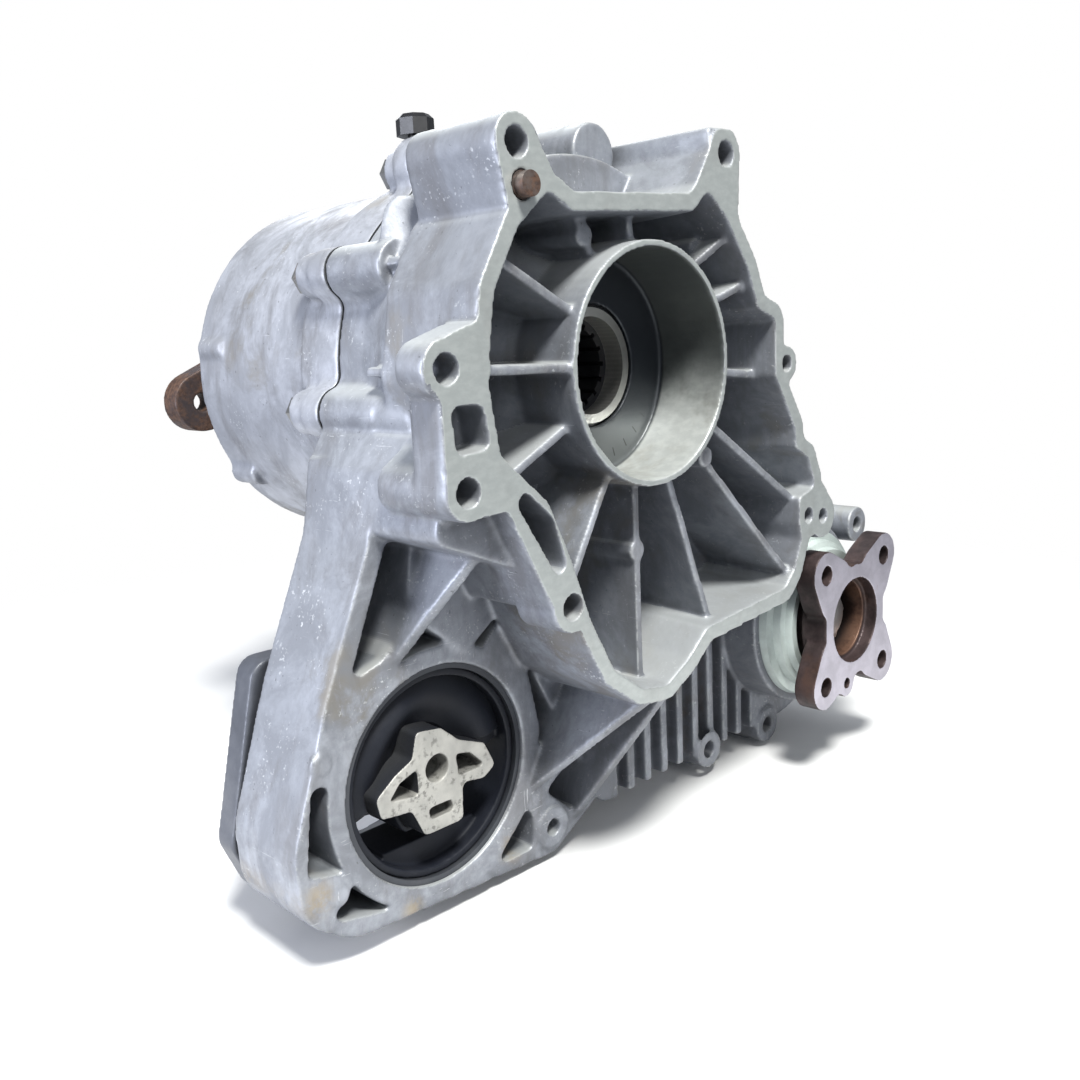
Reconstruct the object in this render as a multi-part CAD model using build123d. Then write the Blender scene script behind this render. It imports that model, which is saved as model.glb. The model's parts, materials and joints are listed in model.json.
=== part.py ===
from build123d import *
from math import acos, atan2, cos, degrees, hypot, pi, radians, sin, sqrt, tan
import os

# Transfer case with a train of three gears, in millimetres.
# The origin is the centre of the input collar in the plane of the gearbox face.
# X points right as seen from the gearbox, Y rearwards into the case, Z up.

# Driving dimensions: planes along Y
bell_depth = 52.0
bell_floor = 13.0
case_depth = 46.0
rim_depth = 12.0
flank_depth = 40.0
chamber_depth = 30.0
drum_length = 127.0
rear_neck_length = 37.0
rear_flange_reach = 24.0

# Driving dimensions: castings
wall = 6.5
mouth_round = 3.5
bell_draft = 3.0
rim_blend_r = 5.0
seam_blend_r = 6.0
smooth_angle = 12.0
shoulder_lip = 2.4
main_seal_r = 33.0
nose_gap = 1.6
axle_seat = 8.0
boss_front_y = 61.5
boss_step = 0.6
pocket_round = 3.0
fin_depth = 8.0
fin_count = 9
fin_pitch = 13.5
fin_start_x = 30.0
fin_groove_r = 4.3
fin_bottom_z = -224.0
fin_top_z = -134.0
fin_bumps = [(25.0, -208.0), (68.0, -207.0)]
fin_bump_r = 6.0
cone_height = 22.0
cone_reach = 18.0
bell_wall = 7.5
collar_outer_r = 50.0
collar_bore_r = 47.0
collar_depth = 36.0
drum_r = 85.0
drum_round = 14.0
seam_body_r = 88.0
seam_flange_depth = 13.0
cover_boss_length = 24.0
drum_floor = 8.0
neck_rib_count = 12
gear_case_r = 68.0
sump_bottom_z = -214.0
sump_left_x = 20.0
sump_right_x = 140.0
sump_corner_r = 12.0
seal_gap = 0.6

# Driving dimensions: bell rim
ear_r = 10.5
ear_hole_r = 5.25
small_ear_r = 8.5
small_hole_r = 3.75
arm_boss_at = (-22.0, -212.0)
arm_boss_front_y = 50.0
rib_thickness = 5.0
bell_rib_thickness = 3.8
rib_reach = 150.0
square_window_depth = 15.0
long_window_depth = 34.0
dowel_x = -72.0
dowel_z = 66.5
dowel_r = 4.5
dowel_stand = 4.5
dowel_seat = 12.0
dowel_root_r = 5.0

# Driving dimensions: gear train
gear_module = 2.77
gear_teeth = 40
pressure_angle = 20.0
gear_backlash = 0.2
gear_width = 26.0
gear_gap = 4.0
train_angle = -41.36

# Driving dimensions: shafts and bearings
shaft_nose_r = 24.9
shaft_nose_bore_r = 21.0
shaft_nose_y = 36.4
spline_bore_r = 17.0
main_seat_r = 25.0
main_shaft_r = 22.0
rear_seat_r = 20.0
bearing_gap = 0.03
front_bearing_r = 40.0
front_bearing_set_back = 17.0
front_bearing_width = 16.0
rear_bearing_r = 40.0
rear_bearing_width = 18.0
output_seat_r = 17.5
output_bearing_r = 36.0
output_bearing_width = 17.0
output_rear_bearing_r = 31.0
output_rear_bearing_width = 16.0
idler_axle_r = 15.0
needle_thickness = 4.0
shield_gap = 0.4
nose_bore_depth = 10.0
spline_length = 46.0
spline_count = 16
flange_spline_r = 18.0
output_spline_r = 13.0
output_rear_seat_r = 15.0
thread_r = 11.0
gear_rim = 9.0
gear_hub = 9.0
gear_web_depth = 6.0
running_gap = 0.05

# Driving dimensions: front output
output_neck_r = 51.0
output_neck_y = 31.0
flange_thickness = 12.0
flange_pcd = 86.0
flange_lobe_r = 12.5
flange_hole_r = 5.1
flange_web_r = 31.0
flange_pilot_r = 23.2
flange_pilot_depth = 7.0
flange_recess_r = 20.5
flange_recess_depth = 26.0
flange_hub_r = 27.0
flange_waist_r = 17.0
flange_nut_height = 9.0
flange_nut_flats = 30.0
flange_lug_at = 35.0
flange_lug_angle = -104.6
flange_lug_r = 7.5
flange_lug_hole_r = 2.8
carrier_r = 47.0
carrier_front_y = 17.0

# Driving dimensions: rear output
rear_neck_r = 49.0
rear_flange_thickness = 15.0
rear_pcd = 110.0
rear_arm_r = 16.5
rear_hole_r = 5.25
rear_hub_r = 28.0
rear_arm_angle = 196.0
rear_center_r = 36.0
rear_hub_depth = 39.0
rear_nut_recess = 12.0
rear_nut_flats = 32.0
rear_nut_height = 9.0

# Driving dimensions: clutch
friction_count = 6
disc_thickness = 2.2
disc_gap = 0.35
basket_r = 74.0
basket_wall = 3.0
hub_r = 45.0
ramp_ring_r = 60.0
ramp_ring_thickness = 7.0
plate_travel = 1.5
actuator_module = 2.0
sector_teeth = 60
pinion_teeth = 12
sector_arc = 110.0
basket_standoff = 2.0
pinion_housing_r = 22.0
pinion_housing_length = 82.0
pinion_room_r = 15.5
actuator_shaft_r = 5.0
motor_r = 24.0
motor_length = 50.0
motor_room = 0.8
motor_screw_x = 69.0
motor_screw_z = 31.0
motor_screw_r = 3.0
motor_screw_depth = 8.0
motor_eye_r = 7.0
ball_r = 4.0
ball_count = 5
ball_play = 0.3
ramp_gap = 5.0
ramp_track_r = 47.0
reaction_r = 56.0
reaction_wall = 10.0

# Driving dimensions: mount eye
eye_x = -85.0
eye_z = -164.5
eye_bore_r = 47.5
eye_ring_r = 56.0
arm_floor = 13.0
sleeve_thickness = 2.5
core_x = -88.3
core_z = -159.7
core_hole_r = 6.0
core_round = 2.5
core_window_round = 1.2
rubber_lining = 3.5
rubber_skin = 2.5
rubber_inset = 11.0
rubber_stop_width = 50.0
rubber_stop_height = 15.0
rubber_arms = [
    [(-110.0, -162.0, 9.0), (-126.0, -152.0, 10.0), (-118.0, -138.0, 8.0)],
    [(-66.0, -162.0, 9.0), (-44.0, -152.0, 10.0), (-52.0, -138.0, 8.0)],
]
stop_plate_depth = 13.0
stop_screws = [(-126.5, -124.0), (-141.0, -196.0), (-62.0, -113.0)]
stop_plate_gap = 3.0
stop_plate_foot_r = 8.0
stop_plate_round = 9.0
stop_plate_corners = [
    (-108, -111), (-139, -111), (-157, -186), (-147, -210), (-110, -218),
    (-50, -214), (-24, -196), (-24, -176), (-54, -103),
]

# Driving dimensions: fasteners
screw_r = 4.0
screw_head_r = 6.5
screw_head_height = 6.0
washer_r = 8.0
screw_clearance = 0.4
boss_r = 10.0
open_boss_z = -100.0
screw_length = 50.0
plug_head_r = 13.0
plug_thread_r = 9.0
fill_plug_at = (118.0, -52.0)
drain_plug_at = (92.0, -192.0)
breather_x = -29.0
breather_reach = 12.0
breather_z = 101.5
breather_stem_r = 3.5

# Outline of the bush core and its three windows
core_corners = [
    (-98, -141), (-85, -143), (-76, -151), (-62, -157), (-56, -169), (-63, -173), (-75, -171),
    (-76, -187), (-97, -187), (-103, -174), (-118, -172), (-120, -163), (-110, -156), (-101, -152),
]
core_windows = [
    [(-114, -166), (-108, -160), (-99, -157), (-99, -168)],
    [(-78, -157), (-70, -159), (-62, -167), (-77, -167)],
    [(-94, -176), (-82, -176), (-81, -181), (-93, -181)],
]

# Derived places
gear_pitch_r = gear_module * gear_teeth / 2
idler_x = 2 * gear_pitch_r * cos(radians(train_angle))
idler_z = 2 * gear_pitch_r * sin(radians(train_angle))
output_x = 2 * idler_x
output_z = 2 * idler_z
chamber_front_y = bell_depth + bell_floor
seam_y = bell_depth + case_depth
breather_y = seam_y + breather_reach
drum_end_y = seam_y + drum_length
rear_neck_end_y = drum_end_y + rear_neck_length
rear_flange_y = rear_neck_end_y + rear_flange_reach
rear_hub_y = rear_flange_y - rear_hub_depth
arm_front_y = bell_depth
gear_y = chamber_front_y + gear_gap
front_bearing_y = chamber_front_y - front_bearing_set_back
cover_chamber_y = seam_y + chamber_depth
cover_front_y = seam_y + seal_gap
screw_tip_y = cover_front_y + cover_boss_length - screw_length
output_bearing_y = output_neck_y + 10
output_bearing_end_y = output_bearing_y + output_bearing_width
output_rear_bearing_y = cover_chamber_y - wall - output_rear_bearing_width - 1
axle_end_y = output_rear_bearing_y + axle_seat
drum_floor_y = drum_end_y - drum_floor
rear_bearing_y = drum_end_y + 3
basket_y = gear_y + gear_width + basket_standoff
stack_y = basket_y + basket_wall + 10
stack_end_y = stack_y + 2 * friction_count * (disc_thickness + disc_gap)
plate_y = stack_end_y + plate_travel + 0.4
ramp_y = plate_y + 12.5
fixed_ramp_y = ramp_y + ramp_ring_thickness + ramp_gap
actuator_x = actuator_module * (sector_teeth + pinion_teeth) / 2
pinion_housing_y = drum_end_y - pinion_housing_length
drum_bumps = [(-79.5, 14.0), (-68.0, -48.0)]

# Bolt ears of the rim: x, z, ear radius, hole radius, foot x, foot z, foot radius, depth
rim_ears = [
    (-73.9, 80.7, ear_r, ear_hole_r, -66.0, 62.0, 14.0, 50.0),
    (50.3, 86.0, ear_r, ear_hole_r, 42.0, 64.0, 16.0, 56.0),
    (-112.0, 5.0, ear_r, ear_hole_r, -98.0, 8.0, 12.0, 16.0),
    (-105.3, -38.3, ear_r, ear_hole_r, -92.0, -34.0, 14.0, 40.0),
    (-55.1, -90.4, ear_r, ear_hole_r, -55.0, -88.0, 8.0, 22.0),
    (97.9, -4.8, small_ear_r, small_hole_r, 94.0, -4.0, 8.0, 25.0),
    (117.8, -81.2, 12.0, small_hole_r, 117.0, -76.0, 12.0, 25.0),
    (131.5, -83.5, 11.5, small_hole_r, 120.0, -66.0, 8.0, 25.0),
]

# Corners of the bell's open mouth, clockwise from top left
bell_mouth = [
    (-59, 65), (-47, 58.5), (27, 61.5), (37, 70), (50, 60), (66, 39), (74, 21), (88, 16),
    (88, -10), (105, -36), (106, -46), (117, -52), (124, -67), (109, -71), (109, -84),
    (111, -92), (105, -106), (97, -114), (32, -119), (18, -130), (2, -138), (-14, -135),
    (-32, -122), (-45, -98), (-55, -71), (-66, -47), (-89, -27), (-93, 0), (-88, 30), (-75, 52),
]

# Ribs of the bell: angle round the collar in degrees, Y of the front edge at the collar
# and at rib_far_r
rib_far_r = 90.0
bell_ribs = [
    (-33, 5, 5), (-46, 9, 7), (-70, 9, 8), (-90, 13, 13), (-121, 5, 5), (-154, 9, 9), (178, 1, 1),
    (152.5, 5, 5), (118, 12, 12), (92, 10, 10), (42.5, 19, -2), (24.5, 15, 0), (-6, 14, 12),
]

# Screws that join the castings: x, z, boss radius, Y of the boss's front face
seam_screws = [
    (-80.0, 43.0, 11.0, 64.0), (-89.0, -14.0, 11.0, 40.0), (-29.0, 89.0, 14.0, 45.0),
    (22.0, 91.0, 14.0, 50.0), (82.0, 47.0, 11.0, 60.0), (119.0, 8.0, 11.0, 60.0),
    (170.0, -46.0, 11.0, 60.0), (224.0, -106.0, 11.0, 31.0), (226.0, -186.0, 11.0, 50.0),
    (157.0, -216.0, 11.0, 50.0), (100.0, -213.0, 11.0, 50.0),
]

# Solid flank between the left ears and the mount arm, and the web behind the top right ear
flank_block = [(-96.0, -24.0, 5.0), (-103.0, -36.0, 5.0), (-106.0, -54.0, 5.0), (-60.0, -70.0, 8.0),
               (-60.0, -20.0, 8.0)]
flank_front_y = 12.0
top_web = [(36, 57), (39.5, 96.5), (56, 96.5), (60, 90), (60, 58)]
top_web_round = 2.5
top_web_end_y = 78.0

# Ledge over the flank: plan from its inner edge, outer side negative, then height and tilt
flank_ledge = [(-12, 98), (8, 98), (8, 46), (-2, 46)]
flank_ledge_at = (-98.0, -25.0)
flank_ledge_height = 3.5
flank_ledge_tilt = -35.0

# Conical shoulder behind the bell wall: its size and the zone in X and Z that it fills
shoulder_r = 96.0
shoulder_end_y = 84.0
shoulder_zone = [(-50, 40), (-50, 78), (-70, 84), (-110, 60), (-110, -12), (-60, -12)]

# Slanted oval pad on the top left shoulder
pad_centre = (-79.5, 60.5, 53.0)
pad_along = (0.33, 0.10, 0.94)
pad_facing = (-0.66, -0.70, 0.30)
pad_length = 38.0
pad_width = 18.0
pad_depth = 16.0

# Round pads of the ejector pins: on the ribs by angle, radius and Y, on the arm by X and Z
rib_pads = [(118.0, 58.7, 11.5), (42.5, 70.7, 17.5), (-46.0, 60.0, 6.0), (-90.0, 79.3, 12.5)]
arm_pads = [(-139.1, -196.2), (-142.1, -140.8)]
pad_r = 4.8
pad_step = 0.6

# Webs between the left ears, each as circles and its depth, and the windows in them
rim_webs = [
    ([(-110.5, 4.0, 5.2), (-110.4, -36.0, 5.2), (-92.0, 4.0, 5.0), (-86.0, -34.0, 5.0)], 18.0),
    ([(-82.5, -47.5, 4.5), (-61.5, -87.0, 5.0), (-60.0, -60.0, 5.0)], 52.0),
]
square_window = [(-111.0, -8.0), (-96.5, -8.5), (-94.0, -23.5), (-109.0, -25.0)]
long_window = [(-78.0, -46.0, 3.4), (-68.8, -56.8, 5.3), (-61.8, -72.0, 3.3)]

# Sloped wall outside the long window: its outline at the gearbox face and at the arm
wedge_front = [(-86, -48), (-84, -53), (-66, -86), (-52, -84), (-60, -52)]
wedge_back = [(-92, -56), (-98, -92), (-68, -116), (-44, -100), (-60, -56)]

# Outline of the mount arm, clockwise from the top
arm_corners = [
    (-100, -30), (-107, -36), (-113, -62), (-137, -117), (-157, -174), (-156, -202),
    (-134, -218), (-20, -226), (12, -208), (46, -150), (-20, -60),
]
arm_fillets = [4, 6, 20, 30, 30, 22, 30, 14, 20, 4, 4]

# Ribs that rise from the arm to the bell: start and end of the front edge as X, Y, Z
arm_gussets = [
    ((-106.0, 52.0, -112.0), (-80.0, 14.0, -58.0)),
    ((-34.0, 52.0, -190.0), (-8.0, 3.0, -144.0)),
    ((-6.0, 52.0, -214.0), (12.0, 4.0, -142.0)),
]

# Open pockets of the mount arm
arm_pockets = [
    [(-104, -62), (-64, -64), (-110, -108), (-126, -113)],
    [(-60, -70), (-108, -112), (-84, -114), (-62, -120), (-46, -104)],
    [(-147, -150), (-140, -150), (-139, -172), (-132, -189), (-152, -184)],
    [(-131, -194), (-123, -200), (-103, -216), (-144, -206)],
    [(-58, -218), (-36, -197), (-33, -204), (-34, -218)],
    [(-38, -104), (-26, -160), (-28, -178), (18, -160), (30, -142), (-20, -112)],
    [(-24, -194), (-4, -182), (34, -166), (22, -186), (-6, -210)],
]


def slab(profile, y_front, y_back):
    """Extrude a profile drawn in X and Z from y_front back to y_back."""
    plane = Plane(origin=(0, y_back, 0), x_dir=(1, 0, 0), z_dir=(0, -1, 0))
    return extrude(plane * profile, amount=y_back - y_front, dir=(0, -1, 0))


def disc(x, z, radius, y_front, y_back):
    """A cylinder along Y."""
    return slab(Pos(x, z) * Circle(radius), y_front, y_back)


def ring(x, z, outer_r, inner_r, y_front, y_back):
    """A tube along Y."""
    return slab(Pos(x, z) * (Circle(outer_r) - Circle(inner_r)), y_front, y_back)


def turned(points, x=0.0, z=0.0):
    """Revolve a profile of radius and Y about an axis along Y."""
    profile = Polygon(*points, align=None)
    return Pos(x, 0, z) * revolve(profile, Axis.Y)


def hull(*circles):
    """Tight outline round circles given as x, z, radius."""
    edges = [edge for x, z, radius in circles for edge in (Pos(x, z) * Circle(radius)).edges()]
    return make_hull(edges)


def rounded(corners, radius):
    """Closed polygon with every corner rounded."""
    face = Polygon(*corners, align=None)
    return fillet(face.vertices(), radius)


def polar(radius, angle):
    """X and Z at a radius and an angle round the main axis."""
    return radius * cos(radians(angle)), radius * sin(radians(angle))


def soften(outline, radius):
    """Round the corners where two shapes of an outline meet."""
    face = outline.faces()[0]
    edges = face.outer_wire().order_edges()
    corners = []
    for before, after in zip(edges, edges[1:] + edges[:1]):
        if (before % 1).get_angle(after % 0) > smooth_angle:
            corners.append(face.vertices().sort_by_distance(after @ 0)[0])
    return fillet(corners, radius)


def case_outline(inset=0.0):
    """Outline of the gear case: main axis, front output and sump."""
    corner = sump_corner_r - inset
    left = (sump_left_x, sump_bottom_z + sump_corner_r, corner)
    right = (sump_right_x, sump_bottom_z + sump_corner_r, corner)
    main = (0, 0, seam_body_r - inset)
    return hull(main, (output_x, output_z, gear_case_r - inset), left, right)


def seam_outline():
    """Outline of the parting face, with a boss round each screw."""
    outline = case_outline()
    for x, z, radius, y_front in seam_screws:
        outline += Pos(x, z) * Circle(radius)
    return soften(outline, seam_blend_r)


def rim_outline(mouth):
    """Outer outline of the gearbox face, with its bolt ears."""
    outline = offset(mouth, bell_wall)
    for x, z, radius, hole, foot_x, foot_z, foot_r, depth in rim_ears:
        outline += hull((x, z, radius), (foot_x, foot_z, foot_r))
    for circles, depth in rim_webs:
        outline += hull(*circles)
    return soften(outline, rim_blend_r)


def bell_rib(angle, y_collar, y_far):
    """One plate rib from the collar towards the bell wall."""
    near_r = collar_bore_r + 1
    y_end = y_collar + (y_far - y_collar) * (rib_reach - near_r) / (rib_far_r - near_r)
    y_back = chamber_front_y - 1
    side = Polygon((near_r, y_collar), (rib_reach, y_end), (rib_reach, y_back), (near_r, y_back), align=None)
    return Rot(0, -angle, 0) * extrude(side, amount=bell_rib_thickness / 2, both=True)


def gusset(start, end, y_back, thickness):
    """A rib whose front edge runs from start to end, both given as X, Y, Z."""
    run = hypot(end[0] - start[0], end[2] - start[2])
    angle = degrees(atan2(end[2] - start[2], end[0] - start[0]))
    side = Polygon((0, start[1]), (run, end[1]), (run, y_back), (0, y_back), align=None)
    plate = extrude(side, amount=thickness / 2, both=True)
    return Pos(start[0], 0, start[2]) * Rot(0, -angle, 0) * plate


def mount_arm():
    """The arm with the mount eye, its ring and its pockets."""
    outline = make_face(FilletPolyline(*arm_corners, radius=arm_fillets, close=True))
    arm = slab(outline, arm_front_y, seam_y)
    eye_ring = Pos(eye_x, eye_z) * Circle(eye_ring_r)
    for corners in arm_pockets:
        pocket = rounded(corners, pocket_round) - eye_ring
        arm -= slab(pocket, arm_front_y, seam_y - arm_floor)
    return arm


def front_housing():
    """The casting that bolts to the gearbox: bell, gear case and mount arm."""
    mouth = rounded(bell_mouth, mouth_round)
    bell = offset(mouth, bell_wall)
    body = slab(rim_outline(mouth), 0, rim_depth)
    body += [slab(hull(ear[:3], ear[4:7]), 0, ear[7]) for ear in rim_ears]
    body += slab(bell, 0, bell_depth + 1)
    body += slab(case_outline(), bell_depth, seam_y)
    body += disc(0, 0, seam_body_r, flank_depth, seam_y)
    body += slab(seam_outline(), boss_front_y, seam_y)
    body += [disc(x, z, radius - boss_step, y_front, boss_front_y + 1)
             for x, z, radius, y_front in seam_screws]
    body += slab(hull(*flank_block), flank_front_y, seam_y)
    body += slab(rounded(top_web, top_web_round), 1, top_web_end_y)
    body += [slab(hull(*circles), 0, depth) for circles, depth in rim_webs]
    body += [left_shoulder(), slanted_pad(), ledge()]
    body += disc(output_x, output_z, output_neck_r, output_neck_y, bell_depth + 1)
    body += mount_arm()
    body += [gusset(start, end, seam_y - arm_floor, rib_thickness) for start, end in arm_gussets]
    body += [sloped_wall(), slab(Polygon(*wedge_back, align=None), arm_front_y - 1, seam_y - arm_floor)]
    body += [disc(x, z, pad_r, arm_front_y - pad_step, arm_front_y + 1) for x, z in arm_pads]
    body += [disc(x, z, fin_bump_r, bell_depth - pad_step, bell_depth + fin_depth + 1) for x, z in fin_bumps]
    # The bell is opened from the front, with a draft on its walls
    plane = Plane(origin=(0, 0, 0), x_dir=(1, 0, 0), z_dir=(0, -1, 0))
    body -= extrude(plane * mouth, amount=bell_depth, dir=(0, 1, 0), taper=bell_draft)
    body += collar_and_ribs() & slab(offset(mouth, bell_wall - 1), 0, chamber_front_y)
    # The gear chamber is opened from the parting face
    body -= slab(case_outline(wall), chamber_front_y, seam_y)
    inside = [disc(x, z, boss_r - 1, chamber_front_y - 1, seam_y) for x, z, radius, y_front in seam_screws]
    inside.append(disc(output_x, output_z, output_bearing_r + wall, chamber_front_y - 1,
                       chamber_front_y + 1))
    body += inside
    body += disc(*arm_boss_at, boss_r, arm_boss_front_y, seam_y)
    return body - (bell_bores() + rim_holes() + fin_grooves() + screw_holes())


def sloped_wall():
    """Wall that slopes from the band outside the long window down to the arm."""
    front = Plane(origin=(0, 1, 0), x_dir=(1, 0, 0), z_dir=(0, -1, 0)) * Polygon(*wedge_front, align=None)
    arm_front = Plane(origin=(0, arm_front_y, 0), x_dir=(1, 0, 0), z_dir=(0, -1, 0))
    back = arm_front * Polygon(*wedge_back, align=None)
    return loft([front.face(), back.face()], ruled=True)


def left_shoulder():
    """Conical step from the bell wall down to the round body, on the left only."""
    cone = turned([(shoulder_r - 30, bell_depth - 1), (shoulder_r, bell_depth - 1),
                   (seam_body_r - 1, shoulder_end_y), (shoulder_r - 30, shoulder_end_y)])
    return cone & slab(Polygon(*shoulder_zone, align=None), bell_depth - 2, shoulder_end_y + 1)


def slanted_pad():
    """Oval pad on the top left shoulder of the casting."""
    plane = Plane(origin=pad_centre, x_dir=pad_along, z_dir=pad_facing)
    return extrude(plane * SlotOverall(pad_length, pad_width), amount=-pad_depth)


def ledge():
    """Thin ledge that overhangs the flank below the lower left seam boss."""
    x, z = flank_ledge_at
    plate = extrude(Polygon(*flank_ledge, align=None), amount=flank_ledge_height)
    return Pos(x, 0, z) * Rot(0, flank_ledge_tilt, 0) * plate


def collar_and_ribs():
    """The input collar, its cone and the ribs round it, not yet cut to the bell."""
    collar = disc(0, 0, collar_outer_r, 0, bell_depth + 1)
    cone_front = bell_depth - cone_height
    collar += turned([(1, cone_front), (collar_outer_r - 1, cone_front),
                      (collar_outer_r + cone_reach, bell_depth + 1), (1, bell_depth + 1)])
    pads = [disc(*polar(radius, angle), pad_r, y_front, chamber_front_y - 1)
            for angle, radius, y_front in rib_pads]
    return collar + [bell_rib(*rib) for rib in bell_ribs] + pads


def screw_holes():
    """Holes for the seam screws, the arm's own bolt and the stop plate, and the eye's bore."""
    cuts = []
    for x, z, radius, y_front in seam_screws:
        hole_front = y_front - 1 if z < open_boss_z else min(y_front + 12, screw_tip_y - 1)
        cuts.append(disc(x, z, screw_r + screw_clearance, hole_front, seam_y + 1))
    cuts.append(disc(*arm_boss_at, screw_r, arm_boss_front_y - 1, seam_y - arm_floor))
    cuts.append(disc(eye_x, eye_z, eye_bore_r, arm_front_y - 1, seam_y + 1))
    for x, z in stop_screws:
        cuts.append(disc(x, z, screw_r + bearing_gap, seam_y - arm_floor + 2, seam_y + 1))
    return cuts


def bell_bores():
    """Bores for the collar, the shafts, their seals and bearings."""
    axle_front = chamber_front_y - axle_seat
    return [
        disc(0, 0, collar_bore_r, -1, collar_depth),
        disc(0, 0, main_seal_r, collar_depth + shoulder_lip, front_bearing_y + 1),
        disc(0, 0, shaft_nose_r + nose_gap, collar_depth - 1, front_bearing_y),
        disc(0, 0, front_bearing_r, front_bearing_y, chamber_front_y + 1),
        disc(output_x, output_z, output_bearing_r, output_neck_y - 1, output_bearing_end_y),
        disc(output_x, output_z, output_bearing_r - 6, output_neck_y, chamber_front_y + 2),
        disc(idler_x, idler_z, idler_axle_r + bearing_gap, axle_front, chamber_front_y + 1),
    ]


def rim_holes():
    """Bolt holes, dowel hole and windows of the gearbox face."""
    cuts = [disc(dowel_x, dowel_z, dowel_root_r + bearing_gap, -1, dowel_seat)]
    for x, z, radius, hole, foot_x, foot_z, foot_r, depth in rim_ears:
        cuts.append(disc(x, z, hole, -1, min(depth, bell_depth) + 0.5))
    cuts.append(slab(rounded(square_window, 3), -1, square_window_depth))
    cuts.append(slab(hull(*long_window), -1, long_window_depth))
    return cuts


def fin_grooves():
    """Grooves that leave the cooling fins standing on the sump wall."""
    cuts = []
    neck = disc(output_x, output_z, output_neck_r + 1, 0, seam_y)
    for index in range(fin_count):
        x = fin_start_x + index * fin_pitch
        groove = hull((x, fin_bottom_z, fin_groove_r), (x, fin_top_z, fin_groove_r))
        cuts.append(slab(groove, bell_depth - 1, bell_depth + fin_depth) - neck)
    return cuts


def bearing(x, z, y_front, width, inner_r, outer_r):
    """A shielded ball bearing as its outer ring, its inner ring and its two shields."""
    race = (outer_r - inner_r) * 0.3
    groove = race * 0.35
    y_back = y_front + width
    middle = y_front + width / 2
    outer = [(outer_r, y_front), (outer_r, y_back), (outer_r - race, y_back)]
    outer += [(outer_r - race, middle + 3), (outer_r - race + groove, middle)]
    outer += [(outer_r - race, middle - 3), (outer_r - race, y_front)]
    inner = [(inner_r, y_front), (inner_r, y_back), (inner_r + race, y_back)]
    inner += [(inner_r + race, middle + 3), (inner_r + race - groove, middle)]
    inner += [(inner_r + race, middle - 3), (inner_r + race, y_front)]
    shield_r = outer_r - race
    shield_hole = inner_r + race + shield_gap
    shields = ring(x, z, shield_r, shield_hole, y_front + 0.6, y_front + 1.6)
    shields += ring(x, z, shield_r, shield_hole, y_back - 1.6, y_back - 0.6)
    return turned(outer, x, z), turned(inner, x, z), shields


def half_tooth_angle(radius):
    """Half the angle that a tooth takes at a radius, in radians."""
    base_r = gear_pitch_r * cos(radians(pressure_angle))
    here = max(radius, base_r + 0.001)
    pressure_here = sqrt((here / base_r) ** 2 - 1)
    roll = pressure_here - atan2(pressure_here, 1)
    roll_pitch = tan(radians(pressure_angle)) - radians(pressure_angle)
    at_pitch = pi / (2 * gear_teeth) - gear_backlash / (2 * gear_pitch_r)
    return at_pitch + roll_pitch - roll


def gear_outline(phase):
    """Outline of a gear with involute flanks, one tooth centred on the phase angle."""
    root_r = gear_pitch_r - 1.25 * gear_module
    tip_r = gear_pitch_r + gear_module
    pitch_angle = 2 * pi / gear_teeth
    radii = (root_r, gear_pitch_r, tip_r)
    edges = []
    for tooth in range(gear_teeth):
        middle = radians(phase) + tooth * pitch_angle
        rising = []
        falling = []
        for radius in radii:
            half = half_tooth_angle(radius)
            rising.append((radius * cos(middle - half), radius * sin(middle - half)))
            falling.append((radius * cos(middle + half), radius * sin(middle + half)))
        following = middle + pitch_angle - half_tooth_angle(root_r)
        root_end = (root_r * cos(following), root_r * sin(following))
        edges.append(ThreePointArc(*rising))
        edges.append(Line(rising[2], falling[2]))
        edges.append(ThreePointArc(*reversed(falling)))
        edges.append(Line(falling[0], root_end))
    return make_face(Wire(edges))


def gear(x, z, phase, bore_r):
    """One gear of the train, with a web thinned on both sides."""
    outline = Pos(x, z) * (gear_outline(phase) - Circle(bore_r))
    blank = slab(outline, gear_y, gear_y + gear_width)
    rim_inner_r = gear_pitch_r - gear_rim
    for y_front in (gear_y, gear_y + gear_width - gear_web_depth):
        blank -= ring(x, z, rim_inner_r, bore_r + gear_hub, y_front, y_front + gear_web_depth)
    return blank


def hex_nut(x, z, flats, hole_r, y_front, height):
    """A hexagonal nut along Y."""
    outline = Pos(x, z) * (RegularPolygon(flats / 2, 6, major_radius=False) - Circle(hole_r))
    return slab(outline, y_front, y_front + height)


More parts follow.
